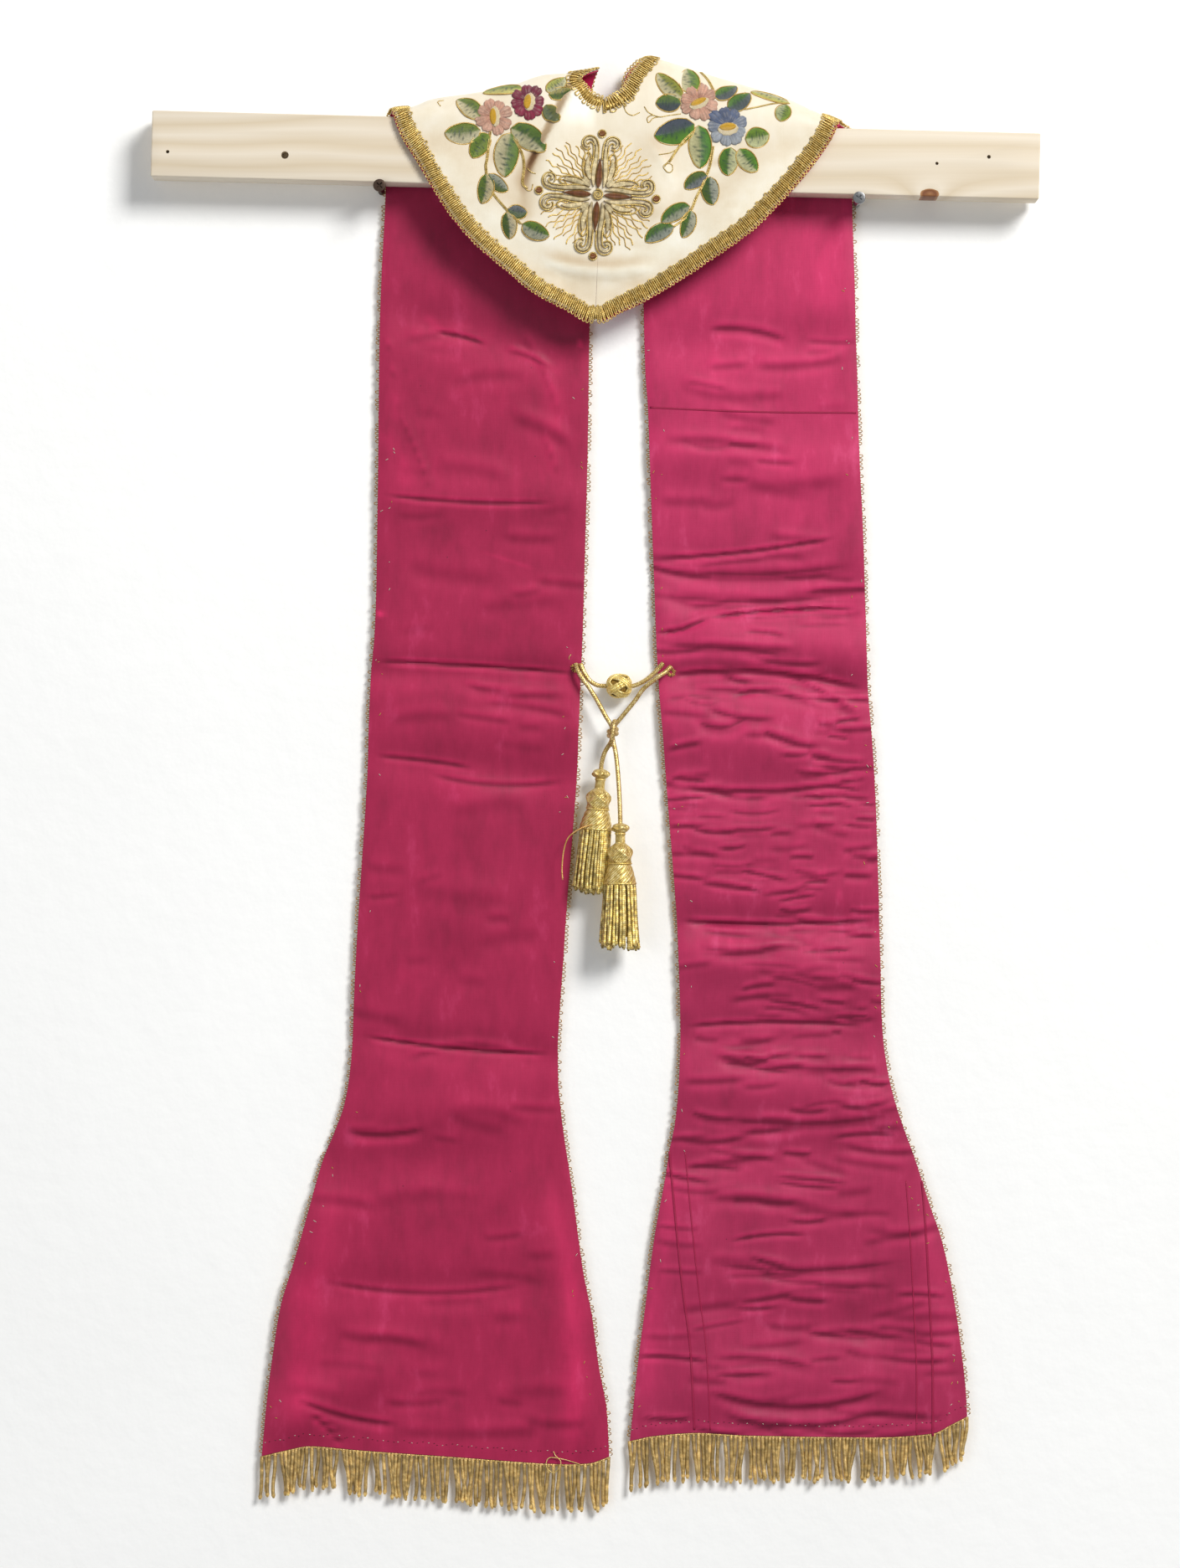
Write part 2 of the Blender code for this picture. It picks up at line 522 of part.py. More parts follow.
def fringe(name, half, lengths, seed):
    """A narrow heading just under the hem, with bullion strands drawn down from it."""
    chance = random.Random(seed)
    last = len(half.rows) - 1
    outer, inner = half.rows[last][1:3]
    span = abs(inner - outer) - 1.0
    start = min(outer, inner) + 0.5
    pitch = span / STRANDS
    points, faces, drawn = [], [], []
    middle = (FACE_IN + WALL + BRAID_T) / 2 - 0.4
    for n in range(STRANDS):
        for edge in (-0.5, 0.5):
            x = start + (n + 0.5) * pitch + edge * STRAND_W
            hem = half.at(last, x, middle) - Vector((0, 0, HEM_GAP))
            for y, z in ((-0.5, 0), (0.5, 0), (0.5, -HEADING), (-0.5, -HEADING)):
                points.append(hem + Vector((0, y * HEADING_T, z)))
    stations = 2 * STRANDS
    for s in range(stations - 1):
        a, b = 4 * s, 4 * (s + 1)
        for n in range(4):
            m = (n + 1) % 4
            if n == 2 and s % 2 == 0:
                drawn.append((a + 2, b + 2, b + 3, a + 3))
                continue
            faces.append((a + n, a + m, b + m, b + n))
    faces += [(0, 3, 2, 1), (4 * stations - 4, 4 * stations - 3, 4 * stations - 2, 4 * stations - 1)]
    for n, root in enumerate(drawn):
        share = n / (STRANDS - 1)
        share = share if half.side < 0 else 1 - share
        length = read(lengths, share) + chance.uniform(-1.6, 1.6)
        lean = 1.3 * math.sin(n * 0.47 + seed) + 0.9 * math.sin(n * 1.13 + 2 * seed)
        sway = 0.5 * math.sin(n * 0.8) - 0.3
        ring = root
        for part, bend in ((0.5, 0.35), (1.0, 1.0)):
            first = len(points)
            for corner in root:
                foot = Vector(points[corner]) + Vector((lean * bend * 0.62, sway * bend, -length * part))
                points.append(foot)
            new = tuple(range(first, first + 4))
            for k in range(4):
                j = (k + 1) % 4
                faces.append((ring[k], ring[j], new[j], new[k]))
            ring = new
        faces.append(ring)
    return closed(name, points, faces, GOLD)


fringe("fringe_left", left, FRINGE_LEFT, 3)
fringe("fringe_right", right, FRINGE_RIGHT, 8)


def smooth(route, step):
    """Points every step along a smooth curve through a route."""
    pts = [Vector(p) for p in route]
    fine = []
    for i in range(len(pts) - 1):
        p0, p1, p2, p3 = pts[max(i - 1, 0)], pts[i], pts[i + 1], pts[min(i + 2, len(pts) - 1)]
        for n in range(20):
            t = n / 20
            fine.append(0.5 * (2 * p1 + (p2 - p0) * t + (2 * p0 - 5 * p1 + 4 * p2 - p3) * t * t
                               + (3 * p1 - p0 - 3 * p2 + p3) * t ** 3))
    fine.append(pts[-1])
    total = sum((b - a).length for a, b in zip(fine, fine[1:]))
    count = max(2, round(total / step))
    out, gone, i = [fine[0]], 0.0, 0
    for n in range(1, count):
        want = total * n / count
        while gone + (fine[i + 1] - fine[i]).length < want:
            gone += (fine[i + 1] - fine[i]).length
            i += 1
        out.append(fine[i].lerp(fine[i + 1], (want - gone) / (fine[i + 1] - fine[i]).length))
    return out + [fine[-1]]


def tube(name, points, radius, mat):
    curve = bpy.data.curves.new(name, "CURVE")
    curve.dimensions = "3D"
    curve.bevel_depth = radius * MM
    curve.bevel_resolution = 2
    curve.use_fill_caps = True
    spline = curve.splines.new("POLY")
    spline.points.add(len(points) - 1)
    for slot, point in zip(spline.points, points):
        slot.co = (*(Vector(point) * MM), 1.0)
    curve.materials.append(mat)
    obj = bpy.data.objects.new(name, curve)
    stole.objects.link(obj)
    return obj


tube("cord_left", smooth(CORD_LEFT, CORD_STEP), CORD_R, GOLD)
tube("cord_right", smooth(CORD_RIGHT, CORD_STEP), CORD_R, GOLD)
tube("cord_bridge", smooth(CORD_BRIDGE, CORD_STEP), CORD_R, GOLD)

turns = int(KNOT_TURNS * KNOT_STEPS) + 1
knot = []
for n in range(turns):
    angle = 2 * math.pi * n / KNOT_STEPS
    knot.append((KNOT_MIDDLE[0] + KNOT_ACROSS * math.sin(angle), KNOT_MIDDLE[1] - KNOT_DEEP * math.cos(angle),
                 KNOT_MIDDLE[2] + KNOT_HALF - 2 * KNOT_HALF * n / (turns - 1)))
tube("slip_knot", knot, KNOT_R, GOLD)


def turned(name, profile, middle, axis, steps, mat):
    """A closed profile (distance along, radius) turned by a Screw modifier about an axis."""
    mesh = bpy.data.meshes.new(name)
    pts = [((r * MM, 0, d * MM) if axis == "Z" else (d * MM, 0, r * MM) if axis == "X"
            else (0, d * MM, r * MM)) for d, r in profile]
    mesh.from_pydata(pts, [(n, n + 1) for n in range(len(pts) - 1)], [])
    obj = keep(name, mesh, mat)
    screw = obj.modifiers.new("turn", "SCREW")
    screw.axis = axis
    screw.steps = screw.render_steps = steps
    screw.angle = 2 * math.pi
    screw.use_merge_vertices = True
    screw.merge_threshold = 0.00001
    screw.use_normal_calculate = True
    obj.location = Vector(middle) * MM
    return obj


button = [(BUTTON_LONG / 2 * math.cos(math.pi * n / 10),
           BUTTON_BORE + (BUTTON_R - BUTTON_BORE) * math.sin(math.pi * n / 10) ** 0.6) for n in range(11)]
turned("tie_button", button + [button[0]], BUTTON_MIDDLE, "X", 16, GOLD)


def tassel(name, top, way, spread, seed, mat):
    """A turned head, and under it two rings of strands drawn down from its base."""
    chance = random.Random(seed)
    top, way = Vector(top), Vector(way)
    down = way.normalized()
    side = Vector((1, 0, 0)) - down * down.x
    side.normalize()
    deep = down.cross(side)
    points, faces = [], []

    def ring(distance, radius, twist=0.0, hub=None):
        first = len(points)
        for n in range(TASSEL_SIDES):
            angle = 2 * math.pi * n / TASSEL_SIDES + twist
            points.append((hub or top + down * distance)
                          + (side * math.cos(angle) + deep * math.sin(angle)) * radius)
        return first

    def join(a, b):
        for n in range(TASSEL_SIDES):
            m = (n + 1) % TASSEL_SIDES
            faces.append((a + n, a + m, b + m, b + n))

    rings = [ring(d, r) for d, r in TASSEL_PROFILE]
    faces.append(tuple(range(rings[0], rings[0] + TASSEL_SIDES)))
    for a, b in zip(rings, rings[1:]):
        join(a, b)
    base = TASSEL_PROFILE[-1][0]
    before = rings[-1]
    for outer, inner in TASSEL_RINGS:
        a, b = ring(base, outer), ring(base, inner)
        join(before, a)
        for n in range(TASSEL_SIDES):
            m = (n + 1) % TASSEL_SIDES
            quad = [Vector(points[i]) for i in (a + n, a + m, b + m, b + n)]
            hub = sum(quad, Vector()) / 4
            first = len(points)
            points.extend(hub + (q - hub) * 0.74 for q in quad)
            root = list(range(first, first + 4))
            corners = (a + n, a + m, b + m, b + n)
            for k in range(4):
                j = (k + 1) % 4
                faces.append((corners[k], corners[j], root[j], root[k]))
            away = hub - (top + down * base)
            length = SKIRT + chance.uniform(-2.5, 1.5)
            last = root
            for part, wide in ((0.45, 0.75), (1.0, 1.0)):
                spot = len(points)
                shift = down * length * part + away * (spread - 1) * wide
                points.extend(Vector(points[i]) + shift for i in root)
                new = list(range(spot, spot + 4))
                for k in range(4):
                    j = (k + 1) % 4
                    faces.append((last[k], last[j], new[j], new[k]))
                last = new
            faces.append(tuple(last))
        before = b
    faces.append(tuple(range(before, before + TASSEL_SIDES)))
    return closed(name, points, faces, mat)


tassel("tassel_left", *TASSEL_LEFT, SKIRT_SPREAD_LEFT, 5, GOLD)
tassel("tassel_right", *TASSEL_RIGHT, SKIRT_SPREAD_RIGHT, 6, GOLD)

# the batten and the two screws that carry it
bpy.ops.mesh.primitive_cube_add(size=1, location=(BATTEN_X * MM, BATTEN_Y * MM, BATTEN_Z * MM),
                                rotation=(0, BATTEN_TILT, 0))
batten = bpy.context.object
batten.name = batten.data.name = "batten"
batten.scale = (BATTEN_LENGTH * MM, BATTEN_DEPTH * MM, BATTEN_HEIGHT * MM)
bpy.ops.object.transform_apply(location=False, rotation=False, scale=True)
batten.data.materials.append(SPRUCE)
edge = batten.modifiers.new("edge", "BEVEL")
edge.width = BATTEN_EDGE * MM
edge.segments = 1
for group in list(batten.users_collection):
    group.objects.unlink(batten)
stole.objects.link(batten)

screw_profile = [(SHANK_BACK, 0.0), (SHANK_BACK - 3, SHANK_R * 0.5), (SHANK_BACK - 8, SHANK_R),
                 (HEAD_BACK, SHANK_R), (HEAD_FRONT + 0.7, HEAD_R), (HEAD_FRONT, HEAD_R - 0.2),
                 (HEAD_FRONT - 0.3, 0.0)]
turned("screw_left", screw_profile, (-SCREW_X, 0, SCREW_Z), "Y", 20, BRONZE)
turned("screw_right", screw_profile, (SCREW_X, 0, -SCREW_Z), "Y", 20, ZINC)
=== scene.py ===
# A clerical stole hung over a wooden batten on two wall screws: its finished surfaces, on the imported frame.
# Sizes in millimetres, made metres by MM. +X to the viewer's right, +Z up, front -Y, the wall at y = 0.
# Cloth is followed by x across and run along it: run 0 is the crest over the batten, it grows down the
# front to the point of the neck, and falls down the back to the hem.
import bpy
import json
import math
import random
import numpy as np
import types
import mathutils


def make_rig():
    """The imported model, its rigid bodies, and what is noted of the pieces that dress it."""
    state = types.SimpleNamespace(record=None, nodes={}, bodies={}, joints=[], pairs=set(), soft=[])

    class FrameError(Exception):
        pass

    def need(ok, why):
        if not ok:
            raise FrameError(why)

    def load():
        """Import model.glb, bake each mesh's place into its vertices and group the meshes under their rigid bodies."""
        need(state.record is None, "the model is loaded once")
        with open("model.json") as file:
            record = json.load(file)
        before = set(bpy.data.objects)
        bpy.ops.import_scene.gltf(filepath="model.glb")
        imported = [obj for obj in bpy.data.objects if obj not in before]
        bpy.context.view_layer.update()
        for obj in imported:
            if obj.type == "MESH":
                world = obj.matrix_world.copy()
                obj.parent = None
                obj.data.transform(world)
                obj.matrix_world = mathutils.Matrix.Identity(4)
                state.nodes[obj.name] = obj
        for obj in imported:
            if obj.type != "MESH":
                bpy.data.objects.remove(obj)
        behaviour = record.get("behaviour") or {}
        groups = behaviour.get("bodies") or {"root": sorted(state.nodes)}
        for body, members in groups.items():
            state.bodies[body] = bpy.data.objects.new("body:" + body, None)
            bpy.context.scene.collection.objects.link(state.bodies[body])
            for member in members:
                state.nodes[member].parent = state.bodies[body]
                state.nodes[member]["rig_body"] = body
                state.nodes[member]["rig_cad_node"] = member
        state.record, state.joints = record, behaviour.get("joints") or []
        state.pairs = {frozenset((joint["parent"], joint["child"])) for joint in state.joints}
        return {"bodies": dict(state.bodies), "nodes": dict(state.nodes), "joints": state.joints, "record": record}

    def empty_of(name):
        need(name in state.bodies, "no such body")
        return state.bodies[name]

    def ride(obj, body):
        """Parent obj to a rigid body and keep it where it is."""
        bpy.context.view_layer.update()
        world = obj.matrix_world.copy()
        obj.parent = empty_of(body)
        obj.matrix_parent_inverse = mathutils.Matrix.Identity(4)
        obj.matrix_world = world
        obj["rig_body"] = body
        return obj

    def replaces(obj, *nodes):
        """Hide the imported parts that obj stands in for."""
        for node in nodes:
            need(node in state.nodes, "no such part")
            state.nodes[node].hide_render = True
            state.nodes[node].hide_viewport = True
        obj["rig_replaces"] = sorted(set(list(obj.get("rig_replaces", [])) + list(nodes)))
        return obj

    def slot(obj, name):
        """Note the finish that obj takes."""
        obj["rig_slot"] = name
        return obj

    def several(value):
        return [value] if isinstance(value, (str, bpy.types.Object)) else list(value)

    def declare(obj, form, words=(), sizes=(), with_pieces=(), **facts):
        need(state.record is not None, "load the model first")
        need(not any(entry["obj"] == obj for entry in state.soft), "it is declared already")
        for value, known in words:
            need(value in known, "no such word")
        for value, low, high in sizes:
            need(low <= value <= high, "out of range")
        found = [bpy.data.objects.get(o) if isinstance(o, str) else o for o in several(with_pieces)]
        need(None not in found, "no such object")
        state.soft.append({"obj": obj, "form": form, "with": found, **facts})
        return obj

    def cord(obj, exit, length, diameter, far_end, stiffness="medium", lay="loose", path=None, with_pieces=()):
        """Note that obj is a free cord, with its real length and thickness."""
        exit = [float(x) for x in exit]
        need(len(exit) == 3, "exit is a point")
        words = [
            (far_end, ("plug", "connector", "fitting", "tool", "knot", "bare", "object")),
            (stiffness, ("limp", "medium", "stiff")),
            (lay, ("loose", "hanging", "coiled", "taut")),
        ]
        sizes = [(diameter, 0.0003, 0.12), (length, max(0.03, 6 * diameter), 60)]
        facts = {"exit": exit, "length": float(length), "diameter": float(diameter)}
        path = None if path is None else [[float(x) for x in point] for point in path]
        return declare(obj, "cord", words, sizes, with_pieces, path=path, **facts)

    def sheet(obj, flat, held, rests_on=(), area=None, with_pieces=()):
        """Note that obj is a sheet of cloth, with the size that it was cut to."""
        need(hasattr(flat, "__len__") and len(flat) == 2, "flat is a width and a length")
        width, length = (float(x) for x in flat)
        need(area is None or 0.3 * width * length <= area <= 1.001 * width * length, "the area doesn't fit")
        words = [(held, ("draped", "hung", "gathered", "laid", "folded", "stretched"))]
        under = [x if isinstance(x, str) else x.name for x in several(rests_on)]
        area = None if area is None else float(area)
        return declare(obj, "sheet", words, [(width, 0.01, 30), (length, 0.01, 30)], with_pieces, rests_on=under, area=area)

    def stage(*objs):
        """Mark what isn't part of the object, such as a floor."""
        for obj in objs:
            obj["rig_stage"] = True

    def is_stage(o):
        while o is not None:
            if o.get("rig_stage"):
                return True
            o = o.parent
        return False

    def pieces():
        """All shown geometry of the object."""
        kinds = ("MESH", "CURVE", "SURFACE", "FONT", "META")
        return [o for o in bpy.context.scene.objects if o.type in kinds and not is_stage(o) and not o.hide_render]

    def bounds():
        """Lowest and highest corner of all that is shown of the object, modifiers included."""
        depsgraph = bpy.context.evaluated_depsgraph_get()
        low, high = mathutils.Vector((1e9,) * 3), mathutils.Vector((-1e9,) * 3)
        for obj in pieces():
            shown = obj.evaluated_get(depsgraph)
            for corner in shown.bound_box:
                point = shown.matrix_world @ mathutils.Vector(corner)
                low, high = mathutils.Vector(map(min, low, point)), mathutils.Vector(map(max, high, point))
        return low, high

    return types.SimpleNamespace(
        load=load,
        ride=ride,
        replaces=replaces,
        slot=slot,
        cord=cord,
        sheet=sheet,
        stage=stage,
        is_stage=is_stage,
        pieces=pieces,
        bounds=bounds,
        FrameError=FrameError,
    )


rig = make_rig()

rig.load()
cad_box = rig.bounds()
MM = 0.001


# ---- camera, daylight and wall -------------------------------------------------------------------

def nothing_selected():
    for obj in bpy.context.selected_objects:
        obj.select_set(False)


def only(obj):
    nothing_selected()
    obj.select_set(True)
    bpy.context.view_layer.objects.active = obj


CAMERA_AT = (-20.0, -3615.0, -404.25)
LENS, SENSOR = 120.3, 36
CLIP_END = 50         # in metres
bpy.ops.object.camera_add(location=[v * MM for v in CAMERA_AT], rotation=(math.pi / 2, 0, 0))
camera = bpy.context.object
camera.data.sensor_width = SENSOR
camera.data.lens = LENS
camera.data.clip_end = CLIP_END
bpy.context.scene.camera = camera
bpy.context.scene.view_settings.view_transform = "Standard"      # plain sRGB, so a hex colour is what it says


def soft_lamp(name, at, aim, size, power, warmth):
    """A square studio lamp that shines from one point towards another."""
    at, aim = np.array(at) * MM, np.array(aim) * MM
    way = at - aim
    turn = (math.atan2(math.hypot(way[0], way[1]), way[2]), 0, math.atan2(way[1], way[0]) + math.pi / 2)
    bpy.ops.object.light_add(type="AREA", location=at, rotation=turn)
    lamp = bpy.context.object
    lamp.name = name
    lamp.data.size = size * MM
    lamp.data.energy = power
    lamp.data.color = warmth


soft_lamp("key_lamp", (2400, -3900, 2300), (0, 0, -400), 1700, 256, (1.0, 0.99, 0.97))
soft_lamp("fill_lamp", (-1900, -2600, -500), (0, 0, -550), 1800, 15, (0.96, 0.98, 1.0))
# this one lights the side next to the wall, through the wall
soft_lamp("back_lamp", (700, 3100, 700), (0, 0, -450), 2400, 42, (1.0, 1.0, 1.0))


# ---- materials -----------------------------------------------------------------------------------

def ink(code):
    """An sRGB hex colour as linear red, green, blue and alpha."""
    parts = [int(code[n:n + 2], 16) / 255 for n in (0, 2, 4)]
    return tuple(v / 12.92 if v <= 0.04045 else ((v + 0.055) / 1.055) ** 2.4 for v in parts) + (1.0,)


def finish(name):
    """A new material; its shader is returned with it."""
    mat = bpy.data.materials.new(name)
    mat.use_nodes = True
    return mat, mat.node_tree.nodes["Principled BSDF"]


def add(mat, kind, sockets=None, **settings):
    """Adds a node. Each socket, by name or number, is given a value or another node's output."""
    made = mat.node_tree.nodes.new(kind)
    for key, value in settings.items():
        setattr(made, key, value)
    wire(mat, made, sockets or {})
    return made


def wire(mat, made, sockets):
    """Gives a node's sockets their values, or the outputs that feed them."""
    for key, value in sockets.items():
        if isinstance(value, bpy.types.NodeSocket):
            mat.node_tree.links.new(value, made.inputs[key])
        else:
            made.inputs[key].default_value = value


def ramp(mat, source, stops):
    """A colour ramp over a value: stops are (place, hex colour)."""
    made = add(mat, "ShaderNodeValToRGB", {0: source})
    points = made.color_ramp.elements
    for n, (place, code) in enumerate(stops):
        point = points[n] if n < 2 else points.new(place)
        point.position, point.color = place, ink(code)
    return made.outputs[0]


def blend(mat, part, a, b, way="MIX"):
    """Two colours mixed by a part, which may be a socket."""
    made = add(mat, "ShaderNodeMix", {0: part, 6: a, 7: b}, data_type="RGBA", blend_type=way)
    return made.outputs[2]


def maths(mat, way, a, b=0.0):
    return add(mat, "ShaderNodeMath", {0: a, 1: b}, operation=way).outputs[0]


def plus(mat, a, b):
    return maths(mat, "ADD", a, b)


def times(mat, a, b):
    return maths(mat, "MULTIPLY", a, b)


def zigzag(mat, value):
    """Up from 0 to 1 and down again over every whole step of a value."""
    return times(mat, maths(mat, "PINGPONG", value, 0.5), 2.0)


def apart(mat, place):
    """The three parts of a place."""
    return add(mat, "ShaderNodeSeparateXYZ", {0: place}).outputs


def cloth_place(mat):
    """The piece's own texture place, in metres: across, and along its run."""
    return add(mat, "ShaderNodeTexCoord").outputs["UV"]


def object_place(mat):
    return add(mat, "ShaderNodeTexCoord").outputs["Object"]


def noise_of(mat, place, scale, detail=3.0, rough=0.55):
    """Noise so fine over a place; a scale of three parts stretches it."""
    if isinstance(scale, tuple):
        place, scale = add(mat, "ShaderNodeMapping", {"Vector": place, "Scale": scale}).outputs[0], 1.0
    return add(mat, "ShaderNodeTexNoise", {"Vector": place, "Scale": scale, "Detail": detail,
                                           "Roughness": rough}).outputs[0]


def own_dye(mat):
    """The colour that each point of a piece carries; on some pieces painted shade and light are in it."""
    return add(mat, "ShaderNodeAttribute", attribute_name="dye").outputs["Color"]


def dyed(mat, base):
    """A colour made darker or paler by the piece's own dye, which leaves it alone at a half."""
    dye = own_dye(mat)
    return blend(mat, 1.0, base, blend(mat, 1.0, dye, dye, "ADD"), "MULTIPLY")


def relief(mat, shader, height, depth):
    """Bump of so many millimetres from a height between 0 and 1."""
    bump = add(mat, "ShaderNodeBump", {"Height": height, "Distance": depth * MM, "Strength": 1.0})
    wire(mat, shader, {"Normal": bump.outputs[0]})


# ---- threads: one grid rolled round many paths ---------------------------------------------------

FINE_STEPS = 24       # points worked out between each two of a route
MERGE = 0.000002      # metres within which a thread's points are one
ANY_WAY = (0.31, 0.83, 0.47)      # no thread runs this way
VIEWER = (0, -1, 0)


def smooth_route(route, step):
    """Points about every step along a smooth curve through a route of two or three dimensions."""
    pts = np.array(route, float)
    pts = np.vstack([2 * pts[0] - pts[1], pts, 2 * pts[-1] - pts[-2]])
    t = np.linspace(0, 1, FINE_STEPS, endpoint=False)[:, None]
    fine = []
    for p0, p1, p2, p3 in zip(pts, pts[1:], pts[2:], pts[3:]):
        fine.append(0.5 * (2 * p1 + (p2 - p0) * t + (2 * p0 - 5 * p1 + 4 * p2 - p3) * t ** 2
                           + (3 * p1 - p0 - 3 * p2 + p3) * t ** 3))
    fine = np.vstack(fine + [pts[-2:-1]])
    gone = np.concatenate([[0], np.cumsum(np.linalg.norm(np.diff(fine, axis=0), axis=1))])
    want = np.linspace(0, gone[-1], max(3, int(round(gone[-1] / step)) + 1))
    return np.stack([np.interp(want, gone, column) for column in fine.T], axis=1)


def tone(code):
    """An sRGB hex colour as a dye."""
    return np.array(ink(code)[:3])


def unit(v):
    return v / np.maximum(np.linalg.norm(v, axis=-1, keepdims=True), 1e-9)


def length_of(path):
    return float(np.linalg.norm(np.diff(path, axis=0), axis=1).sum())


def ring_angle(count, sides):
    """The angle of every point of so many rings."""
    return np.linspace(0, 2 * math.pi, sides + 1)[None, :] + np.zeros((count, 1))


def thread(path, wide, deep=None, up=None, twist=0.0, lobes=None, dye=None, flat=False):
    """One thread: path in millimetres, its half width and half depth, and the way its top faces.
    Without up the section is carried along the path. Twist is in turns for each millimetre. Lobes shape
    the section from its angle and run. Dye colours it; flat means its first texture axis runs across."""
    path = np.array(path, float)
    wide = np.broadcast_to(np.array(wide, float), len(path))
    deep = wide if deep is None else np.broadcast_to(np.array(deep, float), len(path))
    return dict(path=path, wide=wide, deep=deep, up=up, twist=twist, lobes=lobes, dye=dye, flat=flat)


def rings_of(item, sides):
    """Every ring of one thread, drawn to a point at both ends: places, texture places and dye."""
    path = item["path"]
    way = unit(np.gradient(path, axis=0))
    if item["up"] is None:
        top = np.empty_like(path)
        top[0] = np.cross(way[0], ANY_WAY)
        for n in range(1, len(path)):
            top[n] = top[n - 1]
            top[n] -= way[n] * top[n].dot(way[n])
            top[n] /= np.linalg.norm(top[n])
        top[0] /= np.linalg.norm(top[0])
    else:
        top = np.broadcast_to(np.array(item["up"], float), path.shape)
        top = unit(top - way * (top * way).sum(1)[:, None])
    side = np.cross(way, top)
    run = np.concatenate([[0], np.cumsum(np.linalg.norm(np.diff(path, axis=0), axis=1))])
    angle = ring_angle(len(path), sides)
    turn = angle + 2 * math.pi * (item["twist"] * run)[:, None]
    size = 1.0 if item["lobes"] is None else item["lobes"](angle, run[:, None])
    across = item["wide"][:, None] * size * np.cos(turn)
    over = item["deep"][:, None] * size * np.sin(turn)
    ring = path[:, None, :] + side[:, None, :] * across[..., None] + top[:, None, :] * over[..., None]
    u = across * MM if item["flat"] else angle / (2 * math.pi)
    v = run[:, None] * MM + np.zeros_like(angle)
    dye = item["dye"]
    if dye is None:
        dye = (0.5, 0.5, 0.5)
    elif callable(dye):
        dye = dye(np.cos(angle), np.sin(angle), (run / run[-1])[:, None])
    dye = np.broadcast_to(np.array(dye, float), ring.shape)
    first, last = (np.repeat(path[n][None, None], sides + 1, 1) for n in (0, -1))
    ring = np.concatenate([first, ring, last])
    flat, dye = (np.concatenate([rows[:1], rows, rows[-1:]]) for rows in (np.stack([u, v], axis=-1), dye))
    return ring.reshape(-1, 3), flat.reshape(-1, 2), dye.reshape(-1, 3)


def laid_grid(name, columns, rows, places, flat, dye=None):
    """A grid primitive whose points are laid at places; flat is its texture place in metres."""
    nothing_selected()
    bpy.ops.mesh.primitive_grid_add(x_subdivisions=columns, y_subdivisions=rows, size=1, calc_uvs=True)
    obj = bpy.context.object
    obj.name = obj.data.name = name
    mesh = obj.data
    mesh.vertices.foreach_set("co", (places * MM).astype(np.float32).ravel())
    corner = np.empty(len(mesh.loops), int)
    mesh.loops.foreach_get("vertex_index", corner)
    mesh.uv_layers[0].data.foreach_set("uv", flat[corner].astype(np.float32).ravel())
    if dye is not None:
        layer = mesh.color_attributes.new("dye", "FLOAT_COLOR", "POINT")
        full = np.concatenate([dye, np.ones((len(dye), 1))], axis=1)
        layer.data.foreach_set("color", full.astype(np.float32).ravel())
    mesh.update()
    return obj


def belongs(obj, mat, slot, nodes=()):
    """Gives a finished piece its material and its record slot, and rides it on the one body."""
    obj.data.materials.clear()
    obj.data.materials.append(mat)
    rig.ride(obj, "root")
    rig.slot(obj, slot)
    if nodes:
        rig.replaces(obj, *nodes)
    return obj


def rolled(name, threads, sides, mat, nodes=(), slot="gilt_thread"):
    """One piece of many threads: a grid's rows rolled round their paths, closed and merged."""
    parts = [rings_of(item, sides) for item in threads]
    places, flat, dye = (np.concatenate([part[k] for part in parts]) for k in range(3))
    obj = laid_grid(name, sides, len(places) // (sides + 1) - 1, places, flat, dye)
    bpy.ops.object.mode_set(mode="EDIT")
    bpy.ops.mesh.select_all(action="SELECT")
    bpy.ops.mesh.remove_doubles(threshold=MERGE)
    bpy.ops.mesh.delete_loose(use_verts=True, use_edges=True, use_faces=False)
    bpy.ops.mesh.select_all(action="SELECT")
    bpy.ops.mesh.normals_make_consistent(inside=False)
    bpy.ops.object.mode_set(mode="OBJECT")
    bpy.ops.object.shade_smooth()
    return belongs(obj, mat, slot, nodes)


# ---- how the cloth lies --------------------------------------------------------------------------

LAP = 1.8             # from the batten's top to the middle of the two layers
SHOULDER = 6.0        # how far below its top the cloth starts to bend over
ARCH = 30.0           # run from the crest to where the cloth hangs straight
HIGH_ARCH, LEAST_ROUND = 30.0, 0.62      # an arch this high is round, a lower one squarer
BATTEN_X, BATTEN_Y, BATTEN_Z = -16.2, -21.5, 25.7
BATTEN_LENGTH, BATTEN_DEPTH, BATTEN_HEIGHT = 607.0, 27.0, 45.0
BATTEN_TILT = math.radians(1.488)
BACK_Y, FRONT_Y = -5.0, -38.0
FLAP_LEAN, BACK_HANG = 3.0, 1.2      # how far the yoke leans back and the bands come forward lower down,
LEAN_FROM, FLAP_OVER, BACK_OVER = 70, 95, 60      # from so far down and over so much
PEEK = 2.0            # the lining shows this far past the face along the front edges

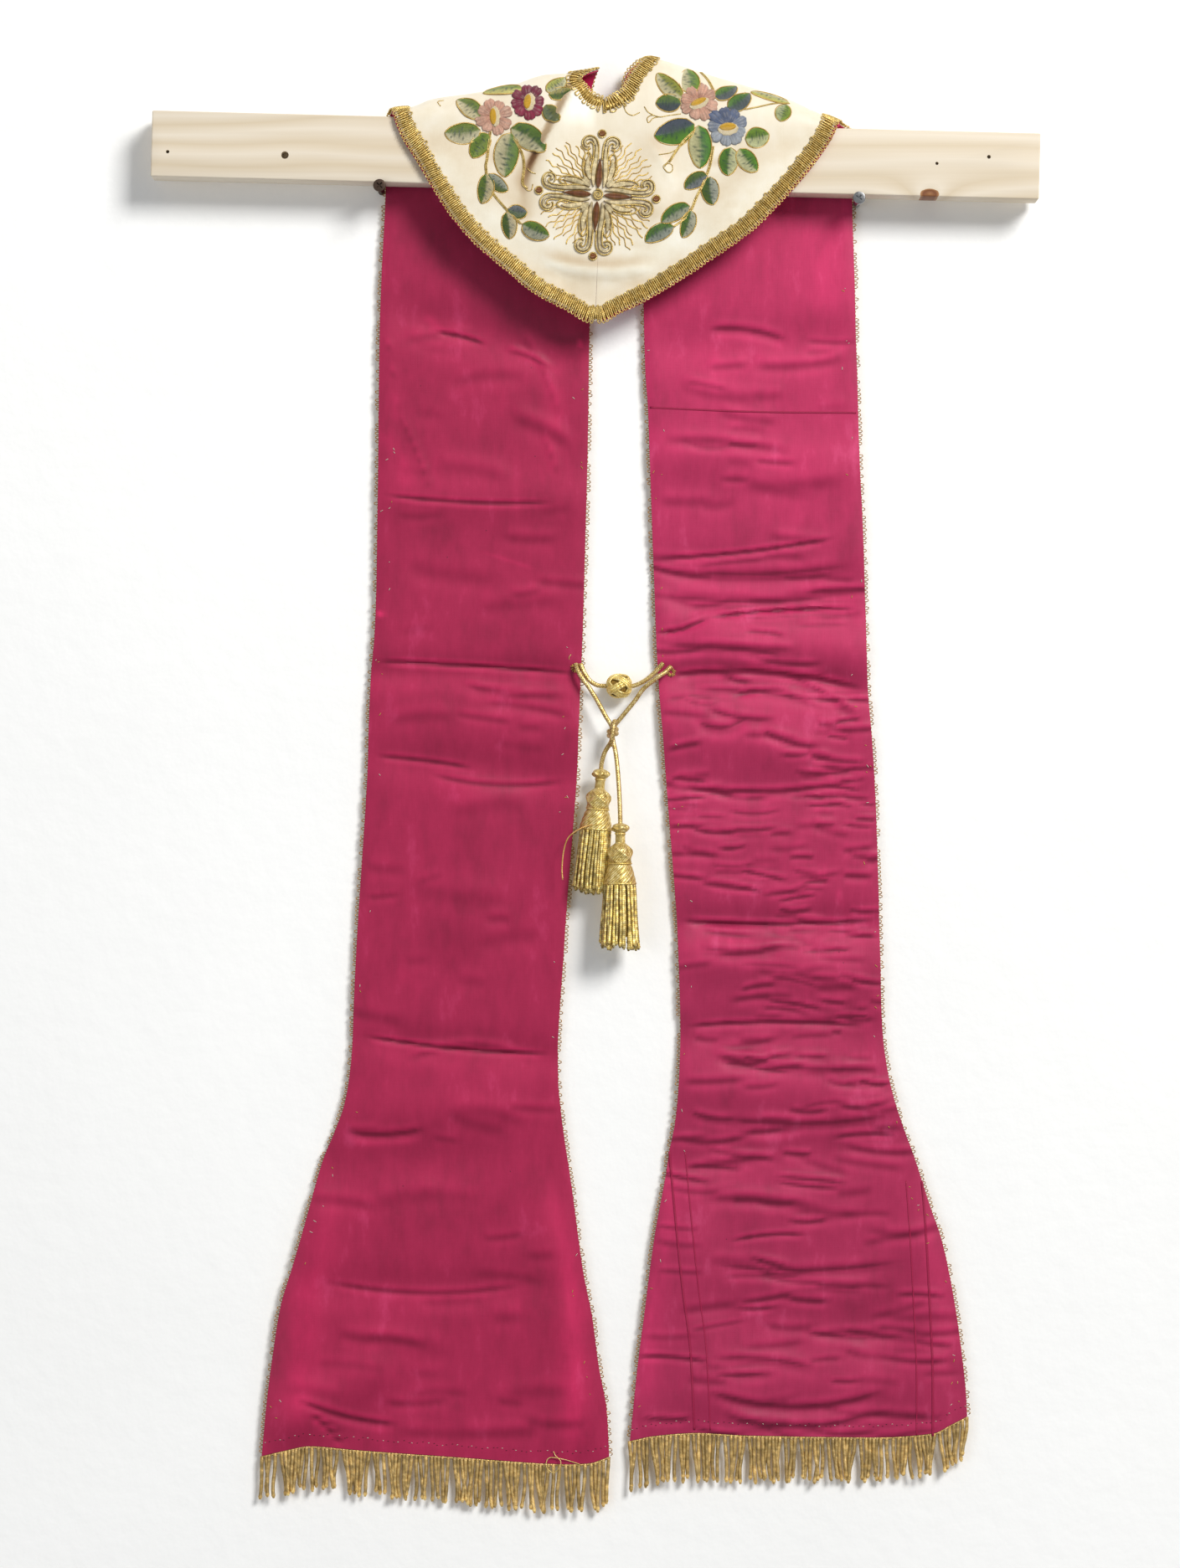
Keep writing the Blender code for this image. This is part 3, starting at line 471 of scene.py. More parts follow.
CREST = (
    # x, height of the arch above the batten
    (-166, 2.0), (-143, 5.0), (-128, 11.0), (-95, 17.0), (-73, 22.5), (-51, 30.0), (-28, 32.5),
    (-14, 35.5), (5, 43.5), (19, 43.7), (43, 38.5), (65, 32.0), (94, 24.0), (117, 17.0),
    (130, 11.0), (141, 6.5), (152, 3.0), (172, 2.0),
)
LEFT = (
    # run, outer edge, inner edge
    (162, -21.5, -16.6), (155, -37.4, -16.4), (145, -57.7, -16.0), (129, -78.0, -15.3),
    (112, -98.6, -14.6), (94, -114.8, -13.9), (74, -128.0, -13.1), (57, -138.0, -12.4),
    (41, -148.2, -11.7), (29, -153.2, -11.3), (20.2, -155.0, -11.0), (19.4, -155.1, -15.2),
    (17.6, -155.2, -19.4), (14.6, -155.3, -23.2), (10.6, -155.4, -26.8), (5, -155.6, -21.0),
    (0, -155.9, -14.5), (-7, -156.8, -16.4), (-14, -158.0, -19.0), (-22, -159.6, -20.2), (-30, -160.3, -20.3),
    (-70, -160.6, -19.8), (-130, -163.4, -20.2), (-168, -164.7, -20.5), (-190, -165.0, -20.8),
    (-225, -165.4, -21.2), (-265, -165.8, -22.0), (-305, -166.4, -23.1), (-345, -167.0, -24.2),
    (-378, -168.2, -25.2), (-394, -169.6, -25.9), (-404, -170.6, -26.4), (-416, -171.2, -26.9),
    (-440, -172.2, -27.8), (-470, -173.0, -28.9), (-500, -174.6, -31.0), (-532, -176.7, -33.5),
    (-566, -179.0, -36.2), (-600, -181.0, -38.4), (-640, -182.8, -41.2), (-662, -183.6, -42.2),
    (-684, -185.6, -41.9), (-703, -189.0, -40.2), (-722, -195.6, -37.8), (-742, -203.8, -34.7),
    (-765, -210.4, -31.4), (-790, -217.2, -28.2), (-815, -224.4, -24.6), (-845, -233.2, -18.6),
    (-878, -238.4, -14.2), (-910, -242.6, -8.6), (-944, -246.0, -6.8),
)
RIGHT = (
    # run, outer edge, inner edge
    (162, -11.5, -16.2), (155, 3.1, -15.9), (149, 15.7, -15.7), (134, 40.3, -15.1),
    (117, 65.1, -14.5), (99, 90.0, -13.8), (80, 108.8, -13.1), (59, 127.1, -12.3),
    (42, 139.7, -11.6), (30, 146.8, -11.1), (20.6, 149.9, -10.6), (20.4, 150.0, -4.0), (19.4, 150.2, 1.6),
    (17, 150.4, 4.6), (13.5, 150.6, 7.6), (9, 150.7, 12.6), (4, 150.8, 17.0), (0, 151.0, 19.0),
    (-6, 152.5, 12.0), (-12, 155.0, 5.0), (-17, 157.4, 2.6), (-23, 159.6, 6.4), (-30, 160.5, 12.0),
    (-67, 160.5, 15.4), (-130, 162.2, 16.6), (-165, 163.0, 17.3), (-195, 164.0, 18.2),
    (-218, 164.6, 19.9), (-252, 165.6, 21.1), (-289, 167.5, 22.4), (-318, 168.6, 23.4),
    (-338, 169.2, 24.2), (-358, 169.8, 24.9), (-380, 170.3, 25.7), (-396, 170.8, 26.6),
    (-406, 171.2, 27.2), (-418, 172.0, 28.0), (-444, 174.2, 30.2), (-482, 176.5, 33.0),
    (-530, 178.1, 36.8), (-556, 178.9, 38.8), (-572, 179.2, 39.9), (-598, 179.9, 41.0),
    (-622, 180.4, 41.8), (-646, 181.6, 42.3), (-668, 184.4, 41.8), (-688, 188.8, 40.8),
    (-709, 195.6, 38.7), (-730, 203.4, 34.6), (-746, 208.6, 32.2), (-764, 214.4, 28.9),
    (-784, 221.4, 25.2), (-809, 227.2, 21.6), (-844, 233.2, 17.2), (-880, 237.4, 12.4),
    (-922, 239.6, 7.4),
)
HEM_LEFT = (
    # share from the outer corner, run of the hem there
    (0.0, -947), (0.06, -943), (0.14, -939), (0.27, -941), (0.55, -944), (0.86, -947), (0.94, -946),
    (1.0, -941),
)
HEM_RIGHT = (
    (0.0, -907), (0.05, -913), (0.10, -919), (0.27, -923), (0.65, -924), (0.80, -923), (0.93, -926),
    (1.0, -930),
)
HEM_REACH = 60.0      # run over which the wave of the hem dies out

FOLDS = {
    # run, x, turn from level in degrees, half length, half width, rise towards the viewer
    "front": (
        (104, -14, 4, 55, 16, 0.5), (64, 26, 82, 40, 13, 1.6), (120, -60, 25, 45, 15, -1.2),
        (70, -105, 48, 45, 16, 1.3), (70, 85, -50, 50, 16, 1.2), (125, 30, -25, 40, 14, -1.0),
    ),
    "left": (
        (-172, -88, -12, 70, 16, -2.0), (-283, -95, 2, 75, 17, 1.5), (-404, -98, 1, 78, 10, -1.8),
        (-440, -70, 3, 60, 17, 1.2), (-470, -100, -5, 72, 13, -1.3), (-535, -105, 80, 60, 26, 1.8),
        (-662, -110, -4, 76, 12, -1.5), (-703, -120, 5, 60, 17, 1.2), (-742, -150, 4, 70, 18, -1.5),
        (-850, -218, 84, 90, 17, 3.0), (-850, -42, -80, 95, 17, 2.8), (-828, -125, 2, 85, 13, -1.3),
        (-905, -195, 35, 45, 16, 2.2),
    ),
    "right": (
        (-172, 92, 3, 70, 17, -1.6), (-252, 92, -2, 75, 17, 1.6), (-338, 98, -3, 76, 18, -3.2),
        (-380, 110, -2, 60, 15, 2.2), (-406, 100, -2, 74, 11, -3.2), (-444, 80, -4, 60, 17, 1.8),
        (-482, 120, 3, 70, 18, -1.6), (-572, 108, 2, 74, 13, -2.6), (-598, 105, -3, 70, 16, 2.2),
        (-646, 110, 3, 75, 16, -2.0), (-688, 120, -4, 80, 17, 1.8), (-730, 110, 6, 80, 17, -1.8),
        (-850, 47, 84, 85, 16, 2.6), (-850, 212, -84, 85, 16, 2.6), (-844, 125, -3, 70, 18, -1.6),
        (-890, 125, 4, 80, 17, 1.8),
    ),
}
CREASES = {
    # x and run at one end, x and run at the other, bow, width, ridge, bite (light above, dark below)
    "front": (
        (-58, 122, 30, 124, 7, 6, 0.9, -1.3), (-46, 133, 6, 137, 3, 9, -0.6, -0.6),
        (-44, 64, -40, 96, 0, 6, 0.5, 0.3), (6, 22, 40, 66, -6, 7, 0.5, 0.7),
    ),
    "left": (
        (-126, -169, -91, -177, 1, 2.2, -0.4, 1.1), (-78, -180, -44, -194, 3, 2.6, 0.7, 0.5),
        (-150, -176, -96, -171, 3, 5, 0.3, 0.7), (-120, -206, -60, -199, 4, 6, -0.2, 0.5),
        (-76, -226, -30, -246, 3, 7, 0.4, 0.9), (-164, -282, -42, -284, -3, 1.8, -0.7, 0.9),
        (-130, -262, -70, -270, 4, 7, 0.5, 0.5), (-150, -330, -80, -338, -3, 8, -0.3, 0.6),
        (-100, -360, -34, -352, 3, 7, 0.3, 0.6), (-169, -397, -26, -402, 1, 2.0, -0.8, 1.3),
        (-110, -412, -32, -416, -3, 4, 0.2, 0.9), (-95, -424, -30, -432, 2, 4, -0.3, 0.7),
        (-160, -438, -110, -434, 3, 6, 0.3, 0.6), (-168, -462, -98, -469, 1, 2.2, -0.4, 0.8),
        (-132, -473, -34, -475, -6, 2.6, -0.3, 0.8), (-120, -500, -60, -492, 3, 8, 0.3, 0.6),
        (-150, -548, -70, -556, -4, 9, 0.4, 0.5), (-100, -592, -50, -584, 3, 8, -0.3, 0.5),
        (-178, -655, -44, -664, -3, 2.0, -0.7, 1.2), (-150, -672, -60, -668, 10, 4, 0.3, 0.9),
        (-188, -722, -132, -718, -3, 4, -0.6, 1.2), (-120, -704, -60, -712, 3, 7, 0.3, 0.7),
        (-170, -770, -120, -764, 3, 8, 0.3, 0.6), (-206, -824, -60, -822, -8, 2.8, -0.3, 0.65),
        (-190, -866, -110, -872, 4, 9, 0.4, 0.6), (-222, -906, -150, -922, -4, 3.4, -0.4, 1.1),
        (-214, -914, -190, -938, 2, 3, -0.6, 1.4), (-160, -926, -40, -921, -3, 6, 0.3, 0.8),
        (-90, -905, -30, -896, 4, 7, 0.3, 0.6), (-162, -163, -152, -226, 5, 4, 0.35, 0.35),
        (-152, -226, -128, -284, 4, 4, 0.35, 0.4), (-70, -168, -38, -236, 12, 6, 0.35, 0.45),
        (-52, -240, -40, -275, 4, 5, 0.3, 0.4),
    ),
    "right": (
        (60, -163, 118, -170, 4, 4, -0.4, 1.1), (90, -186, 160, -178, -3, 5, 0.3, 1.0),
        (40, -200, 100, -208, -3, 6, 0.3, 0.7), (28, -240, 120, -246, 3, 4.5, -0.3, 1.0),
        (80, -268, 158, -262, -3, 7, 0.3, 0.8), (24, -321, 152, -303, -3, 2.2, -0.6, 1.2),
        (28, -329, 164, -322, -5, 6, 0.6, 1.3), (26, -347, 166, -342, -5, 9, -0.6, 2.6),
        (26, -372, 62, -360, -3, 2.2, -0.9, 1.8), (60, -361, 166, -352, 2, 1.8, -0.8, 1.8),
        (112, -398, 168, -428, 2, 5, 0.5, 1.4), (52, -432, 90, -428, -7, 5, -0.4, 1.4),
        (96, -436, 140, -448, -4, 4, -0.4, 1.3), (40, -478, 150, -474, -4, 3, -0.7, 1.6),
        (78, -415, 120, -411, 3, 2.4, -0.5, 1.2), (60, -361, 166, -352, -3, 6, 0.4, 1.1),
        (28, -382, 120, -388, 3, 4.5, -0.4, 1.2), (38, -401, 78, -398, 1, 3.0, -1.0, 1.7),
        (74, -397, 171, -408, 3, 3.2, -1.2, 1.9), (46, -412, 150, -420, 4, 4, 0.3, 1.3),
        (60, -424, 110, -430, -3, 4, -0.3, 1.1), (40, -570, 179, -566, -3, 2.4, -1.1, 1.8),
        (52, -588, 120, -584, -4, 5, 0.4, 1.1), (44, -643, 175, -640, 3, 2.4, -0.7, 1.3),
        (60, -662, 180, -668, -5, 4.5, 0.4, 1.2), (70, -706, 190, -700, -5, 4.5, -0.4, 1.2),
        (52, -760, 150, -768, 4, 5, 0.3, 1.0), (60, -806, 200, -800, -6, 5, -0.3, 1.1),
        (56, -892, 188, -888, -13, 4.2, -0.6, 1.7), (70, -908, 176, -905, -10, 3.6, 0.4, 1.4),
        (64, -872, 140, -878, 4, 4.5, 0.3, 1.1),
    ),
}
PAINTED_LIGHT_AND_STAINS = {
    # x and run at one end, x and run at the other, bow, half width, how much paler, or how much darker where it is
    # below nought. On the lining these are painted highlights where folds catch the light, and painted light on the
    # lining seen in the neck; satin is the yoke's face, where they are stains and worn spots, and painted shade beside
    # the tuck and under the cross
    "left": (
        (-163, -240, -146, -278, 4, 6, 0.26), (-155, -211, -154, -233, 0, 4, 0.18),
        (-48, -200, -46, -241, 4, 5, 0.20), (-46, -241, -52, -270, 0, 5, 0.16),
        (-82, -205, -80, -228, 0, 3, 0.10), (-124, -257, -127, -283, 0, 4, 0.08),
        (-134, -159, -119, -171, 0, 3, 0.20), (-76, -181, -44, -195, 0, 1.8, 0.20),
        (-92, -321, -59, -331, 0, 1.5, 0.20), (-165, -363, -163, -367, 0, 2.2, 0.9),
        (-27, -172, -26, -178, 0, 1.4, 0.8), (-158, -192, -156, -193, 0, 0.9, 0.7),
        (-157, -606, -136, -622, 0, 6, 0.10), (-47, -760, -33, -830, 2, 7, 0.30),
        (-33, -815, -33, -938, 2, 8, 0.42), (-198, -765, -216, -840, 4, 9, 0.20),
        (-215, -825, -224, -925, 2, 11, 0.30), (-26, 12, -22, -34, 0, 16, 0.9),
    ),
    "right": (
        (20, 10, 20, -30, 0, 14, 0.6), (140, -84, 142, -150, 0, 14, 0.22), (125, -245, 124, -300, 0, 16, 0.12),
        (140, -528, 140, -541, 0, 2.4, 0.30), (136, -488, 139, -506, 0, 2.2, 0.18),
        (150, -546, 154, -559, 0, 1.6, 0.24), (77, -581, 80, -594, 0, 2.0, 0.18),
        (128, -615, 129, -628, 0, 1.6, 0.18), (36, -740, 22, -840, 2, 7, 0.30), (22, -825, 17, -905, 1, 8, 0.34),
        (214, -760, 230, -865, -3, 9, 0.18), (60, -172, 66, -205, 0, 7, 0.10), (30, -452, 60, -458, 2, 6, 0.10),
    ),
    "satin": (
        (-54, 42, -69, 74, 0, 7, -0.40), (-60, 70, -66, 96, 0, 6, -0.22), (-48, 118, 14, 128, 6, 8, -0.12),
        (-72, 44, -92, 52, 0, 6, -0.14), (-26, 24, -16, 28, 0, 4, 0.10), (20, 92, 44, 70, 4, 5, -0.08),
        (-95, 74, -62, 92, -4, 8, -0.10), (4, 140, 50, 118, -4, 7, -0.07), (60, 44, 96, 60, 4, 6, -0.06),
    ),
}
WRINKLES = {
    # run from, run to, share across from, to, how many, longest, widest, deepest
    "left": (
        (-160, -660, 0.1, 0.9, 26, 46, 5.5, 0.55), (-660, -940, 0.1, 0.9, 22, 56, 6.5, 0.6),
    ),
    "right": (
        (-165, -320, 0.1, 0.9, 18, 50, 5.0, 0.65), (-322, -400, 0.05, 0.95, 20, 60, 4.5, 0.9),
        (-400, -570, 0.02, 0.98, 78, 42, 3.4, 0.95), (-570, -700, 0.05, 0.95, 48, 52, 3.8, 0.95),
        (-700, -925, 0.05, 0.95, 92, 58, 4.0, 0.9), (-400, -700, 0.0, 0.3, 40, 26, 3.0, 0.9),
    ),
    "front": (
        (40, 150, 0.1, 0.9, 16, 30, 6.0, 0.3),
    ),
}
TUCK = (
    # run, x of the line along which the middle of the yoke laps over its left shoulder
    (4, -22.0), (12, -28.0), (19.5, -33.6), (25, -38.4), (31, -44.2), (47, -52.4), (60, -58.0), (72, -61.0),
    (92, -63.5),
)
TUCK_RISE, TUCK_STEEP, TUCK_END = 3.3, 7.0, -15.0      # its height, how wide its step is, x where it dies out
TUCK_TOP, TUCK_FOOT = (10, 9), (92, 46)                # run where it starts and ends, and over how much of it
FOLD_FADE, CREASE_FADE = (0.6, 0.7), (0.2, 0.25)       # shares of their lengths over which they die out
SHARP, SHARP_DEEP, SHARP_WIDE = 1, 0.32, 1.3           # a crease of more bite is pressed in: how deep, how wide
CROSS_SEAM = -218     # run of the seam across the right lining; its gussets' seams follow
INNER_SEAM = (
    # run, x
    (-668, 41.0), (-730, 34.6), (-773, 38.5), (-824, 43.7), (-865, 48.9), (-935, 51.8),
)
OUTER_SEAM = ((-690, 192.0), (-746, 208.6), (-789, 211.5), (-830, 213.6), (-871, 215.5), (-935, 215.8))


def follow(table, key, column=1):
    """Smooth values from a table sorted by its first column; it never swings past its rows."""
    rows = np.array(sorted(table), float)
    k, v = rows[:, 0], rows[:, column]
    steps = np.diff(k)
    slopes = np.diff(v) / steps
    bend = np.zeros(len(k))
    bend[0], bend[-1] = slopes[0], slopes[-1]
    a, b = slopes[:-1], slopes[1:]
    same = a * b > 0
    bend[1:-1][same] = 2 * a[same] * b[same] / (a + b)[same]
    key = np.clip(key, k[0], k[-1])
    i = np.clip(np.searchsorted(k, key) - 1, 0, len(k) - 2)
    t = (key - k[i]) / steps[i]
    return (v[i] * (1 + 2 * t) * (1 - t) ** 2 + v[i + 1] * t * t * (3 - 2 * t)
            + steps[i] * (bend[i] * t * (1 - t) ** 2 + bend[i + 1] * t * t * (t - 1)))


def ease(value):
    """From 0 to 1 with a soft start and end."""
    value = np.clip(value, 0, 1)
    return value * value * (3 - 2 * value)


def over_batten(x, run):
    """Middle of the two layers in the upright plane at x, as y and z, before any fold."""
    rise = follow(CREST, x) + SHOULDER
    springing = (BATTEN_Z + BATTEN_HEIGHT / 2 + LAP - (x - BATTEN_X) * math.tan(BATTEN_TILT)) - SHOULDER
    angle = np.clip(np.abs(run) / ARCH, 0, 1) * math.pi / 2
    square = LEAST_ROUND + (1 - LEAST_ROUND) * np.minimum(1.0, (rise - SHOULDER) / HIGH_ARCH)
    half = (BACK_Y - FRONT_Y) / 2
    y = (BACK_Y + FRONT_Y) / 2 - np.sign(run) * half * np.sin(angle) ** square
    z = springing + rise * np.maximum(0.0, np.cos(angle)) ** square
    front, back = run >= ARCH, run <= -ARCH
    y = np.where(front, FRONT_Y + FLAP_LEAN * ease((run - LEAN_FROM) / FLAP_OVER), y)
    y = np.where(back, BACK_Y - BACK_HANG * ease((-run - LEAN_FROM) / BACK_OVER), y)
    return y, np.where(front | back, springing - (np.abs(run) - ARCH), z)


YOKE = (-110.0, 110.0)      # x between which the yoke is wrinkled


def made_wrinkles(half):
    """Short creases, uneven in length, depth and place, for the zones where the cloth is crumpled."""
    made = []
    table = LEFT if half == "left" else RIGHT
    for top, foot, lo, hi, count, long, wide, deep in WRINKLES[half]:
        for _ in range(count):
            run = wrinkling.uniform(foot, top)
            outer, inner = YOKE if half == "front" else (float(follow(table, run, k)) for k in (1, 2))
            x = outer + (inner - outer) * wrinkling.uniform(lo, hi)
            length = long * wrinkling.uniform(0.35, 1.0)
            slope = wrinkling.gauss(0, 0.10)
            made.append((x - length / 2, run - slope * length / 2, x + length / 2, run + slope * length / 2,
                         wrinkling.uniform(-0.09, 0.05) * length, wide * wrinkling.uniform(0.5, 1.1),
                         deep * wrinkling.uniform(-0.4, 0.3), deep * wrinkling.uniform(0.35, 1.2)))
    return tuple(made)


wrinkling = random.Random(11)
ALL_CREASES = {half: CREASES[half] + made_wrinkles(half) for half in WRINKLES}


def fold_at(half, x, run):
    """How far folds, creases and the shoulder tuck bring the cloth towards the viewer."""
    total = np.zeros_like(x)
    for where in ("front", half):
        here = (run > 0) == (where == "front")
        for at, middle, turn, length, width, rise in FOLDS[where]:
            turn = math.radians(turn)
            along = (x - middle) * math.cos(turn) + (run - at) * math.sin(turn)
            across = (run - at) * math.cos(turn) - (x - middle) * math.sin(turn)
            fade = 1 - ease((np.abs(along) / length - FOLD_FADE[0]) / FOLD_FADE[1])
            total += here * rise * np.exp(-(across / width) ** 2) * fade
        for x0, run0, x1, run1, bow, width, ridge, bite in ALL_CREASES[where]:
            near = here & (np.abs(run - (run0 + run1) / 2) < abs(run1 - run0) / 2 + abs(bow) + 4 * width)
            near &= (x > min(x0, x1)) & (x < max(x0, x1))
            if not near.any():
                continue
            t = (x[near] - x0) / (x1 - x0)
            d = (run[near] - (run0 + (run1 - run0) * t + bow * 4 * t * (1 - t))) / width
            fade = ease(t / CREASE_FADE[0]) * ease((1 - t) / CREASE_FADE[1])
            total[near] += fade * np.exp(-d * d) * (ridge + bite * 1.2 * d)
            if bite > SHARP:
                total[near] -= fade * SHARP_DEEP * np.exp(-(d * width / SHARP_WIDE) ** 2)
    total *= ease((np.abs(run) - ARCH) / 25)        # the arch itself is smooth
    if half == "left":
        line = follow(TUCK, run)
        up = ease((x - line + TUCK_STEEP) / TUCK_STEEP)
        down = 1 - ease((x - line) / (TUCK_END - line))
        ends = ease((TUCK_FOOT[0] - run) / TUCK_FOOT[1]) * ease((run - TUCK_TOP[0]) / TUCK_TOP[1])
        total += TUCK_RISE * up * down * ends
    return total


def painted_light_and_stains_at(half, x, run):
    """How much paler or darker the dye is made: painted highlights and painted light on the lining; stains, worn spots
    and painted shade on the satin.
    """
    total = np.zeros_like(x)
    for x0, run0, x1, run1, bow, width, paler in PAINTED_LIGHT_AND_STAINS[half]:
        way = np.array((x1 - x0, run1 - run0), float)
        size = float(np.hypot(*way))
        way /= size
        along = ((x - x0) * way[0] + (run - run0) * way[1]) / size
        across = (x - x0) * -way[1] + (run - run0) * way[0] - bow * 4 * along * (1 - along)
        ends = ease((along + 0.15) / 0.4) * ease((1.15 - along) / 0.4)
        total += paler * np.exp(-(across / width) ** 2) * ends * ((along > -0.15) & (along < 1.15))
    return total


def on_cloth(half, x, run, out):
    """Points of the cloth in millimetres, moved out by so much towards its cream side."""
    x, run = np.broadcast_arrays(np.asarray(x, float), np.asarray(run, float))
    y0, z0 = over_batten(x, run - 2)
    y1, z1 = over_batten(x, run + 2)
    y, z = over_batten(x, run)
    size = np.hypot(y1 - y0, z1 - z0)
    out = out + fold_at(half, x, run) * np.where(run > 0, 1, -1)
    return np.stack([x, y + (z1 - z0) / size * out, z - (y1 - y0) / size * out], axis=-1)


ARC_RUNS = np.linspace(-45, 175, 441)


def arc_rows(x):
    """For each x, the true length of cloth from the crest to each of ARC_RUNS."""
    y, z = over_batten(x.ravel()[:, None], ARC_RUNS[None, :])
    gone = np.concatenate([np.zeros((len(y), 1)), np.cumsum(np.hypot(np.diff(y), np.diff(z)), axis=1)], axis=1)
    crest = int(np.argmin(np.abs(ARC_RUNS)))
    return gone - gone[:, crest:crest + 1]


def arc_of(x, run):
    """True length of cloth from the crest to a run; level with run on the hanging bands."""
    rows = arc_rows(x)
    found = [np.interp(r, ARC_RUNS, row) + min(0.0, r - ARC_RUNS[0]) for r, row in zip(run.ravel(), rows)]
    return np.array(found).reshape(x.shape)


def run_of(x, arc):
    """The run at a true length of cloth from the crest."""
    rows = arc_rows(x)
    found = [np.interp(a, row, ARC_RUNS) + min(0.0, a - row[0]) for a, row in zip(arc.ravel(), rows)]
    return np.array(found).reshape(x.shape)


HALVES = {"left": (LEFT, HEM_LEFT, -1), "right": (RIGHT, HEM_RIGHT, 1)}


def hem_shift(half, share, run):
    """How far the waved hem moves a row of the cloth along its run."""
    table, hem, _ = HALVES[half]
    last = table[-1][0]
    return (follow(hem, share) - last) * ease(1 - (run - last) / HEM_REACH)


# ---- the tie cords, first of all the pieces ------------------------------------------------------

GILT, gilt = finish("drawn gilt thread, wrapped on a silk core")
BRIGHT_GILT, bright_gilt = finish("bright gilt plate and purl")
CORDED, corded = finish("fine gilt cord worked slantwise over a mould")
BRAID, braid = finish("round plaited gilt cord")

CORD_R, CORD_SIDES = 1.5, 24
CORD_LEFT = (
    (-30.0, -9.4, -321.6), (-28.4, -12.4, -326.4), (-24.6, -14.2, -332.6), (-20.6, -14.8, -338.0),
    (-15.4, -15.4, -346.4), (-9.4, -16.4, -357.4), (-5.4, -16.9, -364.2), (-4.4, -16.9, -369.6),
    (-5.6, -16.9, -375.2), (-9.8, -16.0, -382.4), (-12.0, -15.2, -390.0), (-12.3, -14.9, -395.3),
)
CORD_RIGHT = (
    (35.6, -9.4, -323.4), (31.6, -12.4, -327.4), (26.6, -14.0, -330.8), (17.0, -13.8, -338.6),
    (10.4, -13.4, -347.6), (1.6, -13.2, -358.4), (-3.2, -13.2, -364.4), (-4.4, -13.2, -369.6),
    (-4.0, -13.4, -375.2), (-2.2, -15.0, -384.0), (-0.6, -18.4, -400.0), (0.4, -21.6, -418.0),
    (0.8, -23.4, -432.6),
)
CORD_BRIDGE = (
    (-26.4, -8.9, -321.4), (-24.2, -9.8, -327.0), (-20.4, -10.4, -332.8), (-15.2, -10.8, -336.2),
    (-9.6, -10.8, -336.8), (-3.2, -10.8, -336.8), (3.2, -10.8, -336.8), (9.6, -10.8, -336.8),
    (17.0, -10.5, -333.6), (24.6, -9.7, -327.6), (30.4, -9.0, -321.0),
)
PLAIT_LAY = 7.0       # run of one full turn of the plait's strands
PLAIT_STRANDS = 4     # strands that turn each way


def crowns(angle, run):
    """1 on top of a round plait's strands and less between them: two sets, which turn opposite ways."""
    turn = run / PLAIT_LAY * 2 * math.pi
    return np.maximum(np.cos(PLAIT_STRANDS * (angle + turn)), np.cos(PLAIT_STRANDS * (angle - turn)))


def plait(angle, run):
    """The section of a round plait."""
    return 0.94 + 0.13 * crowns(angle, run)


def plaited(path, radius=CORD_R):
    """A thread of round plait, with painted highlights on its crowns and painted shade between them."""
    run = np.linspace(0, length_of(path), len(path))[:, None]
    level = 0.30 + 0.30 * ease((crowns(ring_angle(len(path), CORD_SIDES), run) + 0.2) / 1.1)
    return thread(path, radius, lobes=plait, dye=level[..., None] * np.array((1.0, 0.98, 0.92)))


def cord(name, route, node):
    """The plaited cord along a route, with the points that it follows."""
    path = smooth_route(route, 0.5)
    return rolled(name, [plaited(path)], CORD_SIDES, BRAID, [node]), path


cord_left = cord("tie_cord_left", CORD_LEFT, "cord_left")
cord_right = cord("tie_cord_right", CORD_RIGHT, "cord_right")
cord_bridge = cord("tie_cord_bridge", CORD_BRIDGE, "cord_bridge")

# ---- button, slip knot and tassels ---------------------------------------------------------------

# two wraps round both cords, and a turn that goes over them
KNOT_AT, WRAPS, WRAP_R = np.array((-4.4, -15.05, -369.6)), 2, 1.65
WRAP_WIDE, WRAP_DEEP, WRAP_TOP, WRAP_DROP = 2.5, 4.9, 3.6, 5.6      # half width and half depth, start and descent
angle = np.linspace(0, WRAPS * 2 * math.pi, 90)
wraps = KNOT_AT + np.stack([WRAP_WIDE * np.sin(angle), -WRAP_DEEP * np.cos(angle),
                            WRAP_TOP - WRAP_DROP * angle / angle[-1]], axis=1)
over = smooth_route([(-2.2, -14.6, -362.6), (-3.0, -18.4, -361.2), (-3.8, -21.4, -363.6), (-4.4, -22.4, -368.6),
                     (-5.2, -21.8, -374.4), (-5.8, -18.8, -377.4), (-5.8, -15.0, -376.6)], 0.6)
slip_knot = rolled("slip_knot_wraps", [plaited(wraps, WRAP_R), plaited(over)], CORD_SIDES, BRAID, ["slip_knot"])

# a turk's head: one course of three ribbons, plaited round a dark core
BUTTON_AT, BUTTON_LONG, BUTTON_R = np.array((0.0, -10.8, -336.8)), 9.0, 7.4
BIGHTS, LEADS, BIGHT_REACH = 4, 3, np.radians(58)      # turns back at each end, times round, their latitude
BUTTON_CORE_LONG, BUTTON_CORE_R = 7.9, 6.6
along = np.linspace(0, 2 * math.pi, 220)
lat, lon = BIGHT_REACH * np.sin(BIGHTS * along), LEADS * along
around = np.stack([np.sin(lat) * BUTTON_LONG, -np.cos(lat) * np.cos(lon) * BUTTON_R,
                   np.cos(lat) * np.sin(lon) * BUTTON_R], axis=1)
lift = (1 + 0.06 * np.cos(2 * BIGHTS * along + 0.8))[:, None]
beside = np.cross(unit(around), unit(np.gradient(around, axis=0)))
ribbons = [thread(BUTTON_AT + around * lift + beside * shift, 1.0, 0.75, up=unit(around),
                  dye=(shade, shade, shade * 0.95))
           for shift, shade in ((-1.6, 0.54), (0.0, 0.68), (1.6, 0.58))]
t = np.linspace(-1, 1, 24)
